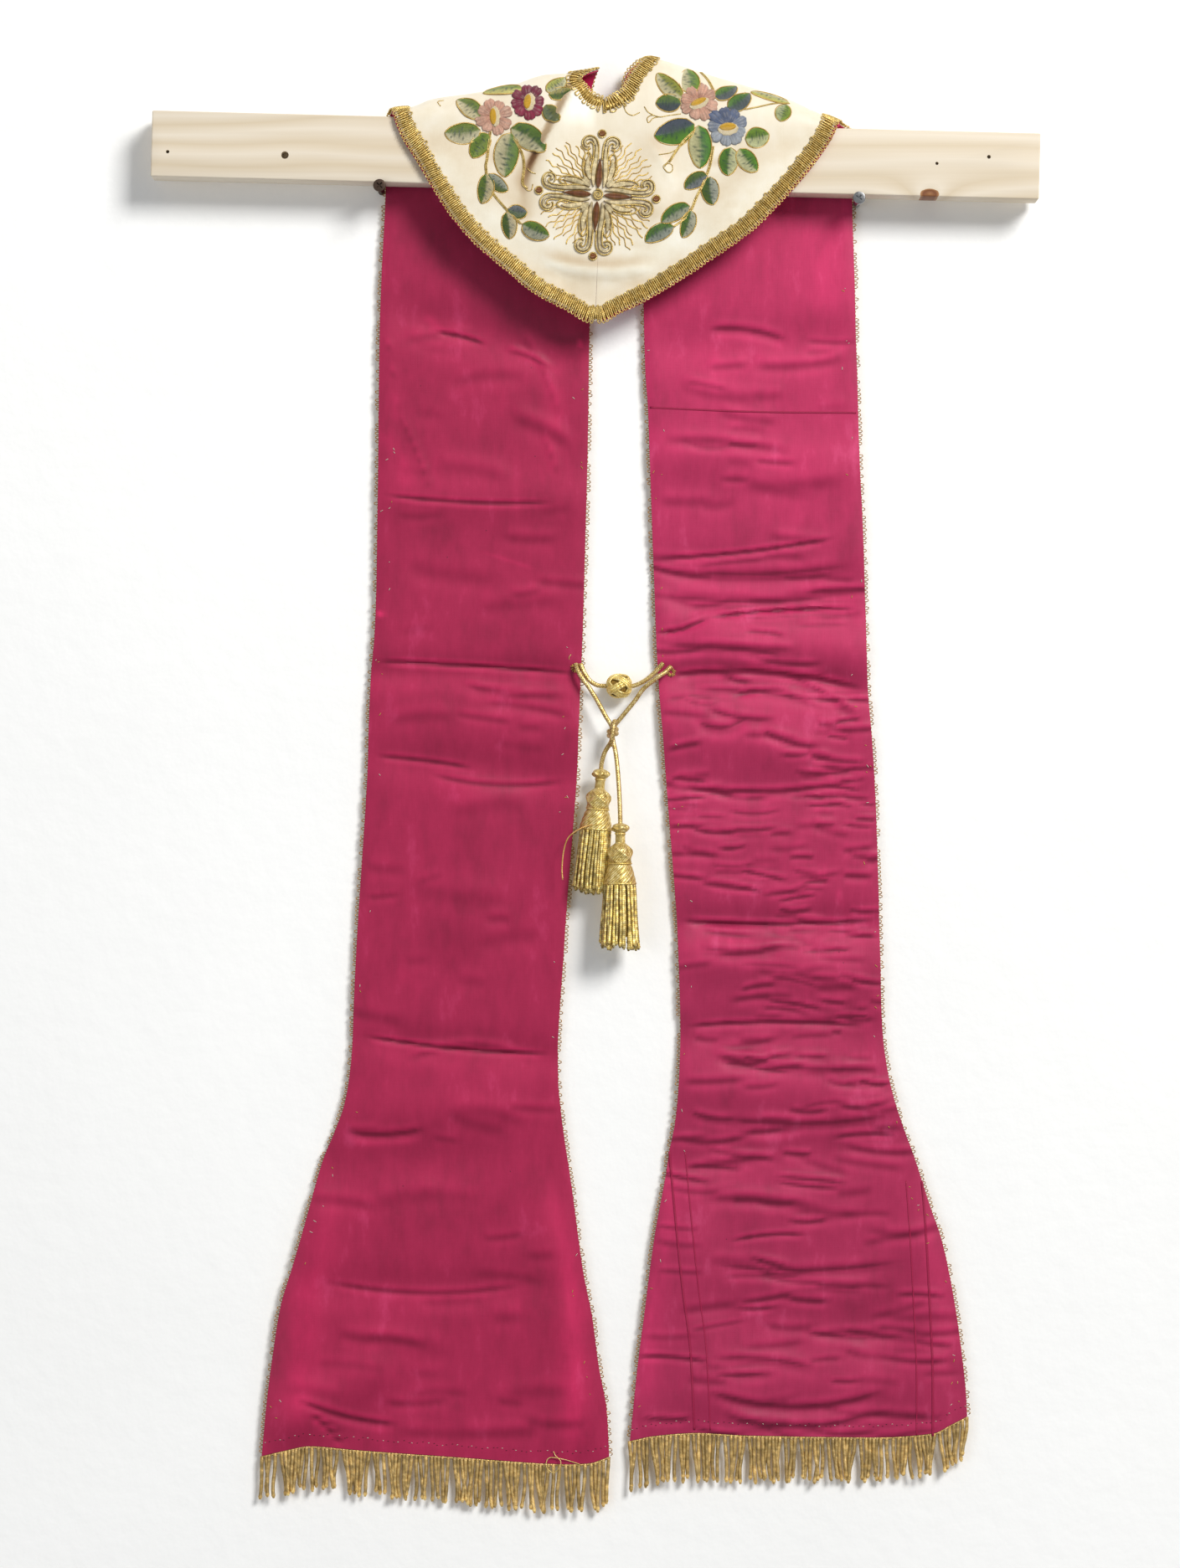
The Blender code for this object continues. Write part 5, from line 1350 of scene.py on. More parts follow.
def block(size, turn, at):
    """A cube primitive of a size in millimetres, turned in the wall's plane and put in its place."""
    nothing_selected()
    bpy.ops.mesh.primitive_cube_add(size=1)
    made = bpy.context.object
    made.scale = [v * MM for v in size]
    made.rotation_euler = (0, turn, 0)
    made.location = [v * MM for v in at]
    bpy.ops.object.transform_apply(location=True, rotation=True, scale=True)
    return made


def cut(obj, cutter):
    """Takes one solid out of another and removes the cutter."""
    only(obj)
    made = obj.modifiers.new("cut", "BOOLEAN")
    made.operation, made.object, made.solver = "DIFFERENCE", cutter, "EXACT"
    bpy.ops.object.modifier_apply(modifier="cut")
    bpy.data.objects.remove(cutter, do_unlink=True)


batten = block((BATTEN_LENGTH, BATTEN_DEPTH, BATTEN_HEIGHT), BATTEN_TILT, (BATTEN_X, BATTEN_Y, BATTEN_Z))
batten.name = batten.data.name = "spruce_batten"
edges = batten.modifiers.new("arris", "BEVEL")
edges.width, edges.segments = ARRIS * MM, 3
bpy.ops.object.modifier_apply(modifier="arris")
for x, z, radius, depth in HOLES:
    nothing_selected()
    bpy.ops.mesh.primitive_cylinder_add(vertices=20, radius=radius * MM, depth=depth * MM * 2,
                                        location=(x * MM, (BATTEN_Y - BATTEN_DEPTH / 2) * MM, z * MM),
                                        rotation=(math.pi / 2, 0, 0))
    cut(batten, bpy.context.object)
only(batten)
bpy.ops.object.shade_smooth_by_angle(angle=math.radians(35))
belongs(batten, PINE, "spruce", ["batten"])

SCREW_X, SCREW_Z, SHANK_R, HEAD_R = 163.6, 4.25, 2.2, 4.4
HEAD_FRONT, HEAD_BACK, SHANK_BACK = -40.4, -37.2, 12.0
RECESS = (4.9, 3.4, 0.95)       # each blade of the cross cut in a head
TURNS, THREAD_DEEP, THREAD_POINTS = 20, 0.22, 120


def screw(name, x, z, turn, mat, slot, node):
    """A countersunk cross-head screw, with its thread and its recess."""
    y = np.concatenate([[HEAD_FRONT - 0.25, HEAD_FRONT - 0.1, HEAD_FRONT + 0.6, HEAD_BACK],
                        np.linspace(HEAD_BACK + 1, SHANK_BACK - 7, THREAD_POINTS), [SHANK_BACK]])
    ridges = THREAD_DEEP * np.sin(np.linspace(0, TURNS * 2 * math.pi, THREAD_POINTS))
    r = np.concatenate([[HEAD_R * 0.72, HEAD_R - 0.25, HEAD_R, SHANK_R], SHANK_R + ridges, [0.2]])
    path = np.stack([np.full_like(y, x), y, np.full_like(y, z)], axis=1)
    obj = rolled(name, [thread(path, r, up=(0, 0, 1))], 20, mat, [node], slot)
    for angle in (0, math.pi / 2):
        cut(obj, block(RECESS, turn + angle, (x, HEAD_FRONT + 0.1, z)))
    only(obj)
    bpy.ops.object.shade_smooth_by_angle(angle=math.radians(40))


BRONZED, bronzed = finish("browned steel")
ZINC, zinc = finish("bright zinc plate on steel")
screw("cross_head_screw_left", -SCREW_X, SCREW_Z, 0.75, BRONZED, "browned_steel", "screw_left")
screw("cross_head_screw_right", SCREW_X, -SCREW_Z, 0.6, ZINC, "bright_zinc", "screw_right")

# ---- embroidery, set out on the yoke as it is seen from the front: x and height z -----------------

FLOSS, floss = finish("untwisted silk floss in satin stitch")
PURL, purl = finish("padded gilt passing thread, dulled to pale gold")
ON_FACE = FACE_OUT + SILK / 2
YOKE_LONG = 165       # run of the yoke's point, and a little past it
DROP_BEHIND = 0.86    # how far the back drops for each millimetre of run, just behind the crest
FINEST = 0.15         # half width at which a stitched shape ends
RIM_DYE = (0.46, 0.42, 0.34)
BASE_GREEN, VEIN_GREEN = (tone(code) for code in ("2a4c2e", "26403a"))
GREEN = 1.25          # a tone is a green if it has so many times as much green as red
WARMER, GREYER = (1.75, 1.15, 0.72), (1.02, 1.0, 1.08)


def at_height(x, z):
    """The run at which the front of the cloth comes to height z; past the crest it goes on down the back."""
    runs = np.linspace(0, YOKE_LONG, 2 * YOKE_LONG + 1)
    heights = over_batten(x[:, None], runs[None, :])[1]
    return np.array([np.interp(-v, -row, runs) - max(0.0, v - row[0]) / DROP_BEHIND for v, row in zip(z, heights)])


def heading(angle):
    """A direction at an angle up from x."""
    return np.array((math.cos(angle), math.sin(angle)))


def crosswise(way):
    """A direction turned a quarter to the left."""
    return np.array((-way[1], way[0]))


def on_yoke(points, out):
    """(x, z) points on the yoke and the way its cloth faces there."""
    x, z = np.array(points, float).T
    run = at_height(x, z)
    seam = follow(LEFT, run, 2)
    low, high = (np.where((x < seam)[..., None], on_cloth("left", x, run, out + more),
                          on_cloth("right", x, run, out + more)) for more in (0.0, 1.0))
    return low, unit(high - low)


def blade(middle, wide, deep, out, dye):
    """A padded, stitched shape along a middle line of (x, z) points."""
    path, tops = on_yoke(middle, out)
    return thread(path, wide, deep, up=tops, dye=dye, flat=True)


def couched(line, radius=0.42, out=0.2, dye=None, step=0.8):
    """A gilt thread laid along (x, z) points and caught down."""
    path, tops = on_yoke(smooth_route(line, step), ON_FACE + out)
    return thread(path, radius, up=tops, dye=dye)


def leaf_tone(code):
    """A leaf's silk: the greens are dyed a little warmer, the pale sides greyer."""
    silk = tone(code)
    return silk * (WARMER if silk[1] > GREEN * silk[0] else GREYER)


def leaf(base, tip, half, right, left, bow=0.0):
    """A leaf with two tones either side of its vein, and the gilt thread round it."""
    base, tip = np.array(base, float), np.array(tip, float)
    way = tip - base
    across = -crosswise(way) / np.linalg.norm(way)
    t = np.linspace(0, 1, 23)[:, None]
    middle = base + way * t + across * bow * 4 * t * (1 - t)
    wide = half * np.sin(math.pi * t[:, 0] ** 0.9) ** 0.56
    wide = np.maximum(wide, FINEST)

    def dye(c, s, t):
        feather = 0.10 * np.sin(83 * t) + 0.07 * np.sin(47 * t + 2)
        side = ease((c + 0.2 + feather) / 0.4)[..., None]
        body = leaf_tone(right) * side + leaf_tone(left) * (1 - side)
        stitches = 0.14 * np.sin(41 * t + 9 * np.abs(c)) * np.sin(27 * t - 17 * np.abs(c)) + 0.08 * np.sin(t * 9)
        body = body * (1.04 + stitches + 0.16 * ease((np.abs(c) - 0.5) / 0.4))[..., None]
        deep = 0.42 * (1 - ease((np.abs(c) + feather - 0.04) / 0.5)) * ease(t / 0.2) * ease((1.05 - t) / 0.4)
        deep = deep[..., None] * np.clip(body[..., 1:2] / np.maximum(body[..., :1], 0.01) - 0.85, 0.3, 1)
        body = body * (1 - deep) + BASE_GREEN * deep
        ribs = np.abs((t * 6.5 - np.abs(c) * 1.5) % 1 - 0.5) < 0.09
        vein = ((np.abs(c) < 0.10) | (ribs & (np.abs(c) < 0.62))) & (s > 0) & (t < 0.86) & (t > 0.06)
        return np.where(vein[..., None], VEIN_GREEN * 0.7 + body * 0.25, body)

    path, tops = on_yoke(middle, ON_FACE + 0.05)
    shape = thread(path, wide, 0.75, up=tops, dye=dye, flat=True)
    edge = np.cross(unit(np.gradient(path, axis=0)), tops) * (wide[:, None] + 0.3)
    rim = np.concatenate([path[:1], (path + edge)[1:-1], path[-1:], (path - edge)[-2:0:-1], path[:1]])
    over = unit(tops.mean(0))
    return shape, thread(smooth_route(rim[::2], 0.8) + over * 0.15, 0.42, up=over, dye=RIM_DYE)


def oval(centre, long, short, turn, deep, out, dye):
    """A padded oval: half length, half width and its turn."""
    t = np.linspace(-1, 1, 13)
    middle = np.array(centre) + np.stack([np.cos(turn) * t * long, np.sin(turn) * t * long], axis=1)
    return blade(middle, np.maximum(short * np.sqrt(1 - t * t), 0.1), deep, out, dye)


HEART, HEART_RIM, WORN = (tone(code) for code in ("d2a018", "e2d0a8", "d8cbb4"))
NOTCH = 0.30          # how far a petal's two lobes are turned apart, as a share of half a petal


def flower(centre, radius, petals, outer, inner, shade, turn, heart, seed):
    """Satin-stitched petals round a two-toned heart; heart is half length, half width and its turn."""
    chance = random.Random(seed)
    made = []
    for k in range(petals):
        angle = turn + 2 * math.pi * k / petals + chance.uniform(-0.06, 0.06)
        reach = radius * chance.uniform(0.9, 1.08)
        t = np.linspace(0, 1, 14)
        deepen = np.clip(shade * (0.5 + 1.1 * math.sin(angle)) + chance.uniform(-0.15, 0.15), 0, 1)
        body = tone(outer) * (1 - deepen) + tone(inner) * deepen
        body = body * chance.uniform(0.88, 1.1)

        def dye(c, s, t, body=body, k=k):
            streak = 0.20 * np.sin(c * 17 + 2 * k) * np.sin(t * 6 + k) + 0.16 * np.sin(c * 29 - k)
            depth = (1 - ease(t * 1.4))[..., None] * 0.55
            pale = (ease((np.sin(c * 11 + 3 * k) * np.sin(t * 7 - k) - 0.35) / 0.5) * 0.35)[..., None]
            # each petal is painted darker along its edges: painted shade between the petals
            petal_edge_shade = 1 - 0.45 * ease((np.abs(c) - 0.78) / 0.22)
            silk = (body * (1 - depth) + tone(inner) * depth) * (1 - pale) + (body * 0.4 + WORN * 0.6) * pale
            return silk * (1 + streak[..., None]) * petal_edge_shade[..., None]

        # each petal is two lobes side by side, so its end is notched
        for lobe in (-1, 1):
            turned = angle + lobe * NOTCH * math.pi / petals
            way = heading(turned)
            long = reach * chance.uniform(0.95, 1.03)
            middle = np.array(centre) + way * (radius * 0.2 + (long - radius * 0.2) * t[:, None])
            wide = radius * math.sin(math.pi / petals) * (0.26 + 0.36 * np.sin(t * 1.9))
            wide = wide * np.sqrt(1 - np.clip((t - 0.66) / 0.34, 0, 1) ** 2.4)
            made.append(blade(middle, np.maximum(wide, 0.2), 0.85, ON_FACE + 0.12 + 0.1 * (k % 2) + 0.05 * lobe, dye))
    long, short, lean = heart
    low = np.array(centre) - crosswise(heading(lean)) * short * 0.45
    made.append(oval(low, long * 1.25, short * 1.6, lean, 0.9, ON_FACE + 0.55, HEART_RIM))
    made.append(oval(centre, long, short, lean, 1.0, ON_FACE + 0.85, HEART))
    return made


LEAVES = (
    # base, tip, half width, tone at the right and at the left of its way, bow
    ((-95, 50), (-111, 62), 6.1, "507333", "cec495", 1.5), ((-95, 42), (-119, 40), 7.0, "4e6f2e", "c6c097", -1.5),
    ((-89, 39), (-100, 23), 6.0, "50782e", "5c8136", 1.0), ((-74, 40), (-78, 10), 8.2, "c2ba8e", "4a7332", 1.2),
    ((-74, 43), (-51, 27), 8.0, "b4ae80", "3c6328", -2.0), ((-66, 70), (-93, 67), 5.0, "698d44", "94ab68", 1.0),
    ((-50, 69), (-37, 78), 5.0, "b8b586", "84a260", 1.0), ((-48, 66), (-33, 69), 4.4, "40602a", "748347", 0.5),
    ((-50, 59), (-41, 48), 5.4, "616b3e", "4d6236", 1.0), ((-91, 12), (-94, -8), 5.4, "426627", "8b9a8c", -1.5),
    ((-89, 12), (-76, 1), 4.6, "3f5d27", "949881", 1.5), ((-76, -12), (-63, -14), 4.6, "365421", "666b68", 1.0),
    ((-77, -14), (-75, -32), 5.0, "385826", "8a9a92", -1.0), ((-66, -22), (-48, -30), 5.7, "97987a", "406921", 1.0),
    ((43, 64), (26, 81), 5.8, "69813a", "c8bf90", -1.0), ((48, 67), (46, 84), 6.8, "4f7c2a", "ccc595", 1.0),
    ((42, 60), (25, 60), 6.0, "41682e", "354960", 0.5), ((51, 46), (24, 38), 8.4, "2f4362", "417c2a", -1.5),
    ((54, 45), (55, 16), 7.6, "c0bd88", "367326", -0.6), ((65, 65), (80, 72), 5.0, "40556b", "417528", 1.0),
    ((74, 57), (89, 67), 5.8, "3b5268", "396e28", 1.0), ((86, 36), (102, 39), 6.8, "b4b97c", "4d7c2a", 0.6),
    ((76, 30), (74, 11), 6.4, "396e28", "b7b984", 0.5), ((82, 29), (94, 14), 6.0, "bfbe89", "40782a", 1.0),
    ((116, 60), (90, 68), 3.2, "c6c18e", "90aa66", 0.6), ((114, 59), (110, 48), 5.2, "a9b179", "5d8634", 0.4),
    ((60, 11), (45, 2), 5.0, "3c5e27", "737875", 1.2), ((62, 10), (64, -9), 5.8, "365926", "979a84", 1.0),
    ((48, -10), (29, -21), 5.2, "366622", "9a9d80", 1.2), ((49, -13), (43, -31), 4.8, "3f6a28", "a2a284", -1.0),
    ((37, -24), (18, -34), 5.4, "366622", "909784", 1.4),
)
STEMS = (
    ((-87, 50), (-90, 24), (-91, 16), (-88, 2), (-78, -11), (-67, -22)),
    ((-75, 40), (-70, 33), (-66, 25), (-65, 16), (-66, 6), (-63, 2)),
    ((64, 31), (62, 19), (58, 7), (53, -3), (47, -16), (37, -24)), ((54, 44), (45, 36), (39, 28), (34, 20)),
    ((86, 56), (96, 58), (106, 60), (116, 60)), ((65, 68), (61, 76), (56, 82)),
)
TENDRILS = (
    ((-66, 6), (-63, 1), (-60, 1), (-59, 5)), ((-63, 16), (-60, 13), (-57, 12)),
    ((39, 28), (33, 20), (30, 17), (33, 13), (36, 14), (36, 18), (33, 19), (31, 17)), ((46, 34), (36, 27), (27, 25)),
    ((42, 53), (34, 52), (27, 51), (20, 54), (17, 58)), ((27, 51), (23, 50), (20, 47), (19, 50), (22, 52), (27, 51)),
    ((14, 54), (9, 52), (5, 54), (3, 58)), ((86, 68), (84, 64), (87, 62), (89, 65)),
    ((-120, 62), (-124, 61), (-122, 58)),
)
FLOWERS = (
    # centre, radius, petals, outer, inner and how much the upper petals turn to it, turn, heart, seed
    ((-86, 51), 12.4, 8, "d4a48c", "b0735c", 0.2, 0.3, (5.6, 2.5, 1.62), 2),
    ((-62.5, 61), 12.6, 8, "8a173c", "56122c", 0.3, 0.1, (5.0, 2.8, 1.45), 4),
    ((54, 61), 12.8, 8, "d6a68e", "b2755e", 0.2, 0.5, (5.8, 2.4, 0.42), 6),
    ((74, 44), 14.6, 9, "a3a9b0", "5a6682", 0.8, 0.35, (5.8, 3.0, 0.08), 9),
)
blades, gilt_lines = [], []
for facts in LEAVES:
    shape, rim = leaf(*facts)
    blades.append(shape)
    gilt_lines.append(rim)
for facts in FLOWERS:
    blades += flower(*facts)
for line in STEMS:
    line = np.array(line, float)
    for shift in (-0.5, 0.5):
        gilt_lines.append(couched(line + (shift, 0), 0.48, 0.25))
for line in TENDRILS:
    gilt_lines.append(couched(line, 0.36, 0.15))
rolled("floral_embroidery", blades, 18, FLOSS, slot="cream_silk")
rolled("couched_gilt_outlines", gilt_lines, 6, GILT)

# ---- the raised cross ----------------------------------------------------------------------------

CROSS_AT, CROSS_TURN = np.array((-14.8, -2.2)), math.radians(-4.3)
HOLLOW_SCROLL = 3     # the one of the arm's lines that is padded
ARM_LOBES = (
    # along the arm and out from its middle line, from root to tip; half width, height
    (((5.0, 3.4), (11, 4.2), (18, 3.9), (25, 3.2), (31, 3.2), (35, 3.6)), 1.75, 1.15),
    (((9.5, 6.0), (14, 7.6), (19, 8.6), (25.5, 8.4)), 2.1, 1.15),
    (((6.0, 5.6), (9.0, 8.0), (12.5, 10.2)), 2.0, 1.1),
)
ARM_LINES = (
    # gold purl beside the lobes and round the scroll
    ((9, 8.4), (14, 10.4), (20, 11.4), (26, 10.6), (28.4, 8.4), (26.6, 6.2), (24, 5.8)),
    ((10, 6.1), (17, 5.9), (24, 5.0), (30, 5.0), (34.0, 5.6), (35.6, 7.4), (34.6, 8.8), (33.4, 8.2)),
    ((24, 1.2), (30, 1.2), (35, 1.7), (38.6, 3.6), (40.2, 7.2), (39.0, 11.0), (35.6, 12.8), (32.0, 11.8), (30.6, 9.2),
     (31.6, 6.8)),
    ((33.5, 3.5), (37.0, 4.8), (38.2, 7.6), (37.0, 10.4), (34.6, 11.0), (32.8, 9.6), (33.2, 7.6)),
)
SPINE_FROM, SPINE_LONG, SPINE_W = 4.5, 20.5, 2.4      # the dark shape down the middle of an arm
BALL_AT, BALL_R = 41.8, 2.2        # the ball past an arm's tip
BOSS_R = 3.8                       # the middle of the cross, with a spiral over it
SPIRAL_TURNS, SPIRAL_GROWS = 2.3, 0.26
RAY_START, RAY_END, RAY_UNEVEN = (11, 15), 43, 3.5
RAY_DYES = ((0.66, 0.63, 0.52), (0.44, 0.39, 0.28))
RAYS = 11             # between one arm and the next,
RAYS_FROM, RAYS_OVER = 17, 56      # from so many degrees past the arm, over so many
ARMS = ((math.pi / 2, 1.0), (0.0, 0.96), (-math.pi / 2, 1.0), (math.pi, 0.96))      # turn, length
PALE, RUST, BALL, SEWN_DOWN = (tone(code) for code in ("ecd8a8", "7c4a2a", "8a5428", "b08c4c"))


def padding(body, seed):
    """Dye of a padded shape: dark where it is sewn down along its edges, and glinting unevenly on top."""
    def dye(c, s, t):
        glint = 0.30 * np.sin(t * 31 + seed) * np.sin(t * 13 - 2 * seed) + 0.14 * np.sin(9 * c + 17 * t)
        edge = ease((np.abs(c) - 0.55) / 0.4)[..., None]
        return (1 + glint)[..., None] * (body * (1 - edge) + SEWN_DOWN * 0.8 * edge)
    return dye


def on_arm(points, turn, stretch, mirror):
    """Points set out along one arm, as (x, z) on the yoke."""
    points = np.array(points, float) * (stretch, mirror)
    turn += CROSS_TURN
    return CROSS_AT + points @ np.array((heading(turn), crosswise(heading(turn))))


padded, purls = [], []
chance = random.Random(17)
for turn, stretch in ARMS:
    t = np.linspace(0, 1, 20)
    middle = on_arm(np.stack([SPINE_FROM + SPINE_LONG * t, 0 * t], axis=1), turn, stretch, 1)
    wide = np.maximum(SPINE_W * np.sin(math.pi * t ** 0.72) ** 0.9, FINEST)
    padded.append(blade(middle, wide, 1.3, ON_FACE + 0.7, padding(RUST, turn)))
    for mirror in (-1, 1):
        for route, wide, high in ARM_LOBES:
            route = np.array(route) + [(chance.uniform(-0.4, 0.4), chance.uniform(-0.3, 0.3))]
            flat = smooth_route(on_arm(route, turn, stretch, mirror), 1.0)
            t = np.linspace(0, 1, len(flat))
            padded.append(blade(flat, np.maximum(wide * np.sin(math.pi * t ** 0.8) ** 0.6, FINEST), high,
                                ON_FACE + 0.6, padding(PALE * chance.uniform(0.8, 1.15), route[0][0])))
        for n, route in enumerate(ARM_LINES):
            line = on_arm(np.array(route) + [(chance.uniform(-0.3, 0.3), chance.uniform(-0.3, 0.3))], turn,
                          stretch, mirror)
            if n == HOLLOW_SCROLL:
                padded.append(blade(smooth_route(line, 0.8), 1.0, 1.0, ON_FACE + 0.5, padding(PALE, mirror)))
            else:
                purls.append(couched(line, 0.55, 0.75, step=0.6))
    ball = on_arm([(BALL_AT, 0)], turn, stretch, 1)[0]
    padded.append(oval(ball, BALL_R, BALL_R, 0, 1.3, ON_FACE + 0.6, BALL))
    ring = [ball + (BALL_R + 0.3) * heading(a) for a in np.linspace(0, 6.5, 14)]
    purls.append(couched(ring, 0.5, 0.8, step=0.6))
    # wavy rays between this arm and the next
    for k in range(RAYS):
        angle = turn + CROSS_TURN + math.radians(RAYS_FROM + RAYS_OVER * k / (RAYS - 1)) + chance.uniform(-0.02, 0.02)
        far = RAY_END + RAY_UNEVEN * math.sin(k * 2.4)
        far = far * (1 - 0.15 * abs(2 * k / (RAYS - 1) - 1)) * chance.uniform(0.88, 1.05)
        near = chance.uniform(*RAY_START)
        r = np.linspace(near, far, 30)
        bend = (r - near) / chance.uniform(8.0, 11.0) * 2 * math.pi + chance.uniform(0, 6.28)
        swing = (0.75 * np.sin(bend) + 0.12 * np.sin(2.3 * bend)) * ease((r - near) / 10)
        line = CROSS_AT + r[:, None] * heading(angle) + swing[:, None] * crosswise(heading(angle))
        purls.append(couched(line, 0.42 - 0.06 * (k % 2), 0.15, step=0.8, dye=RAY_DYES[k % 2]))
turns = np.linspace(0.3, SPIRAL_TURNS * 2 * math.pi, 60)
purls.append(couched([CROSS_AT + SPIRAL_GROWS * a * heading(a) for a in turns], 0.6, 1.6, step=0.6))
padded.append(oval(CROSS_AT, BOSS_R, BOSS_R, 0, 1.4, ON_FACE + 0.3, PALE * 0.7))
rolled("padded_cross", padded, 14, PURL, ["cross"], "padded_gilt")
rolled("purl_scrolls_and_rays", purls, 6, GILT)

# ---- what each material is made of ---------------------------------------------------------------

# crimson lining: a fine glazed plain weave, mottled where it has faded and rubbed, more so downwards;
# its low sheen lifts the slopes of folds to pink
place = cloth_place(CRIMSON)
slub = noise_of(CRIMSON, place, (70, 2400, 1), 2.0)
warp = noise_of(CRIMSON, place, (2200, 60, 1), 1.0)
patch = noise_of(CRIMSON, place, (24, 15, 1), 5.0, 0.62)
rubbed = noise_of(CRIMSON, place, (95, 34, 1), 4.0, 0.6)
mottle = plus(CRIMSON, times(CRIMSON, patch, 0.55), times(CRIMSON, rubbed, 0.45))
weave = plus(CRIMSON, slub, warp)
base = ramp(CRIMSON, mottle, ((0.34, "8a0f38"), (0.47, "9a1240"), (0.57, "a31645"), (0.68, "b62c5a")))
base = blend(CRIMSON, times(CRIMSON, weave, 0.14), base, ink("b83a64"))
base = dyed(CRIMSON, base)
speck = add(CRIMSON, "ShaderNodeTexVoronoi", {"Vector": place, "Scale": 34.0}).outputs["Distance"]
speck = maths(CRIMSON, "LESS_THAN", speck, 0.016)
base = blend(CRIMSON, times(CRIMSON, speck, 0.6), base, ink("4d142a"))
gloss = plus(CRIMSON, times(CRIMSON, mottle, 0.25), 0.38)
wire(CRIMSON, crimson, {"Base Color": base, "Roughness": gloss, "Sheen Weight": 0.08, "Sheen Roughness": 0.45,
                        "Sheen Tint": ink("e88aa8"), "Specular IOR Level": 0.28})
relief(CRIMSON, crimson, weave, 0.035)

# cream satin: floats run along the cloth and carry a soft light, with warm stains, worn pale near the neck
place = cloth_place(CREAM)
floats = noise_of(CREAM, place, (1500, 70, 1), 2.0)
stain = noise_of(CREAM, place, 34.0, 5.0, 0.6)
base = ramp(CREAM, stain, ((0.3, "dfd1b6"), (0.5, "e8ddc6"), (0.7, "eee6d5")))
base = blend(CREAM, times(CREAM, floats, 0.15), base, ink("f2e8d4"))
wire(CREAM, cream, {"Base Color": dyed(CREAM, base), "Roughness": 0.42, "Sheen Weight": 0.15})
relief(CREAM, cream, floats, 0.05)


def gilt_surface(mat, shader, stops, pitch, rough, depth, metal, lean=1):
    """Metal wrapped round a core: fine turns, so many of them met once round, tarnished unevenly, and each turn painted
    paler at its crest as a highlight.
    """
    across, along, _ = apart(mat, cloth_place(mat))
    turns = plus(mat, maths(mat, "DIVIDE", along, pitch * MM), times(mat, across, float(lean)))
    wrap = zigzag(mat, turns)
    tarnish = noise_of(mat, object_place(mat), 420.0)
    # each turn is painted paler towards its crest: a painted highlight over the uneven tarnish
    level = plus(mat, times(mat, tarnish, 0.75), times(mat, wrap, 0.25))
    base = dyed(mat, ramp(mat, level, stops))
    wire(mat, shader, {"Base Color": base, "Metallic": metal, "Roughness": rough})
    relief(mat, shader, wrap, depth)


for mat, shader, stops, pitch, rough, depth, metal, lean in (
        # the galloon and outlines: small glints of yellow gold over a fine twist, brown where worn
        (GILT, gilt, ((0.25, "937838"), (0.5, "c9ab62"), (0.75, "eedc9c")), 0.9, 0.36, 0.15, 0.55, 1),
        # the cord: painted highlights on the crowns of slanting strands
        (BRAID, braid, ((0.3, "8f7238"), (0.5, "d2b46e"), (0.72, "f8ecbc")), PLAIT_LAY / PLAIT_STRANDS, 0.36, 0.06,
         0.55, PLAIT_STRANDS),
        # the fringe: duller, browned coils
        (BULLION, bullion, ((0.2, "8a7040"), (0.5, "b89a5e"), (0.8, "d8c08c")), 0.8, 0.42, 0.08, 0.45, 1),
        # the button and the tassels' skirts: the brightest, so that they glitter
        (BRIGHT_GILT, bright_gilt, ((0.25, "ac8c44"), (0.5, "e0c470"), (0.75, "fcf0c0")), 1.1, 0.36, 0.10, 0.5, 1),
        # the tassels' heads: slanting lines of light over the mould
        (CORDED, corded, ((0.3, "9c7c3a"), (0.5, "d8ba66"), (0.72, "fcf0bc")), 1.9, 0.34, 0.18, 0.5, 30)):
    gilt_surface(mat, shader, stops, pitch, rough, depth, metal, lean)


def stitched(mat, shader, metal, rough, pitch, depth):
    """Stitches laid side by side and slanting from the middle line of each shape, tinted by its dye and painted darker
    in the furrows between them as shade.
    """
    across, along, _ = apart(mat, cloth_place(mat))
    slant = times(mat, maths(mat, "ABSOLUTE", across), 0.9)
    lay = zigzag(mat, maths(mat, "DIVIDE", maths(mat, "SUBTRACT", along, slant), pitch * MM))
    uneven = noise_of(mat, object_place(mat), 900.0, 2.0)
    # painted shade in the furrow between each two rows of stitches, with uneven tone
    shade = ramp(mat, plus(mat, times(mat, lay, 0.5), uneven), ((0.2, "b8b8b8"), (1.0, "ffffff")))
    colour = blend(mat, 1.0, own_dye(mat), shade, "MULTIPLY")
    wire(mat, shader, {"Base Color": colour, "Roughness": rough, "Metallic": metal})
    relief(mat, shader, lay, depth)


# floss: silky rows of stitches, whose colour turns within a petal or leaf
stitched(FLOSS, floss, 0.0, 0.45, 0.9, 0.18)
wire(FLOSS, floss, {"Sheen Weight": 0.2})
# the cross: padded pale gold, more satin than metal
stitched(PURL, purl, 0.15, 0.40, 0.8, 0.2)

# sewing silk: two plies show as slanted turns, painted darker between them as shade, in each stitch's own colour
across, along, _ = apart(SEWN, cloth_place(SEWN))
plies = zigzag(SEWN, plus(SEWN, maths(SEWN, "DIVIDE", along, 0.6 * MM), across))
colour = blend(SEWN, 1.0, own_dye(SEWN), ramp(SEWN, plies, ((0.0, "b4b4b4"), (0.8, "ffffff"))), "MULTIPLY")
wire(SEWN, sewn_thread, {"Base Color": colour, "Roughness": 0.5})
relief(SEWN, sewn_thread, plies, 0.05)

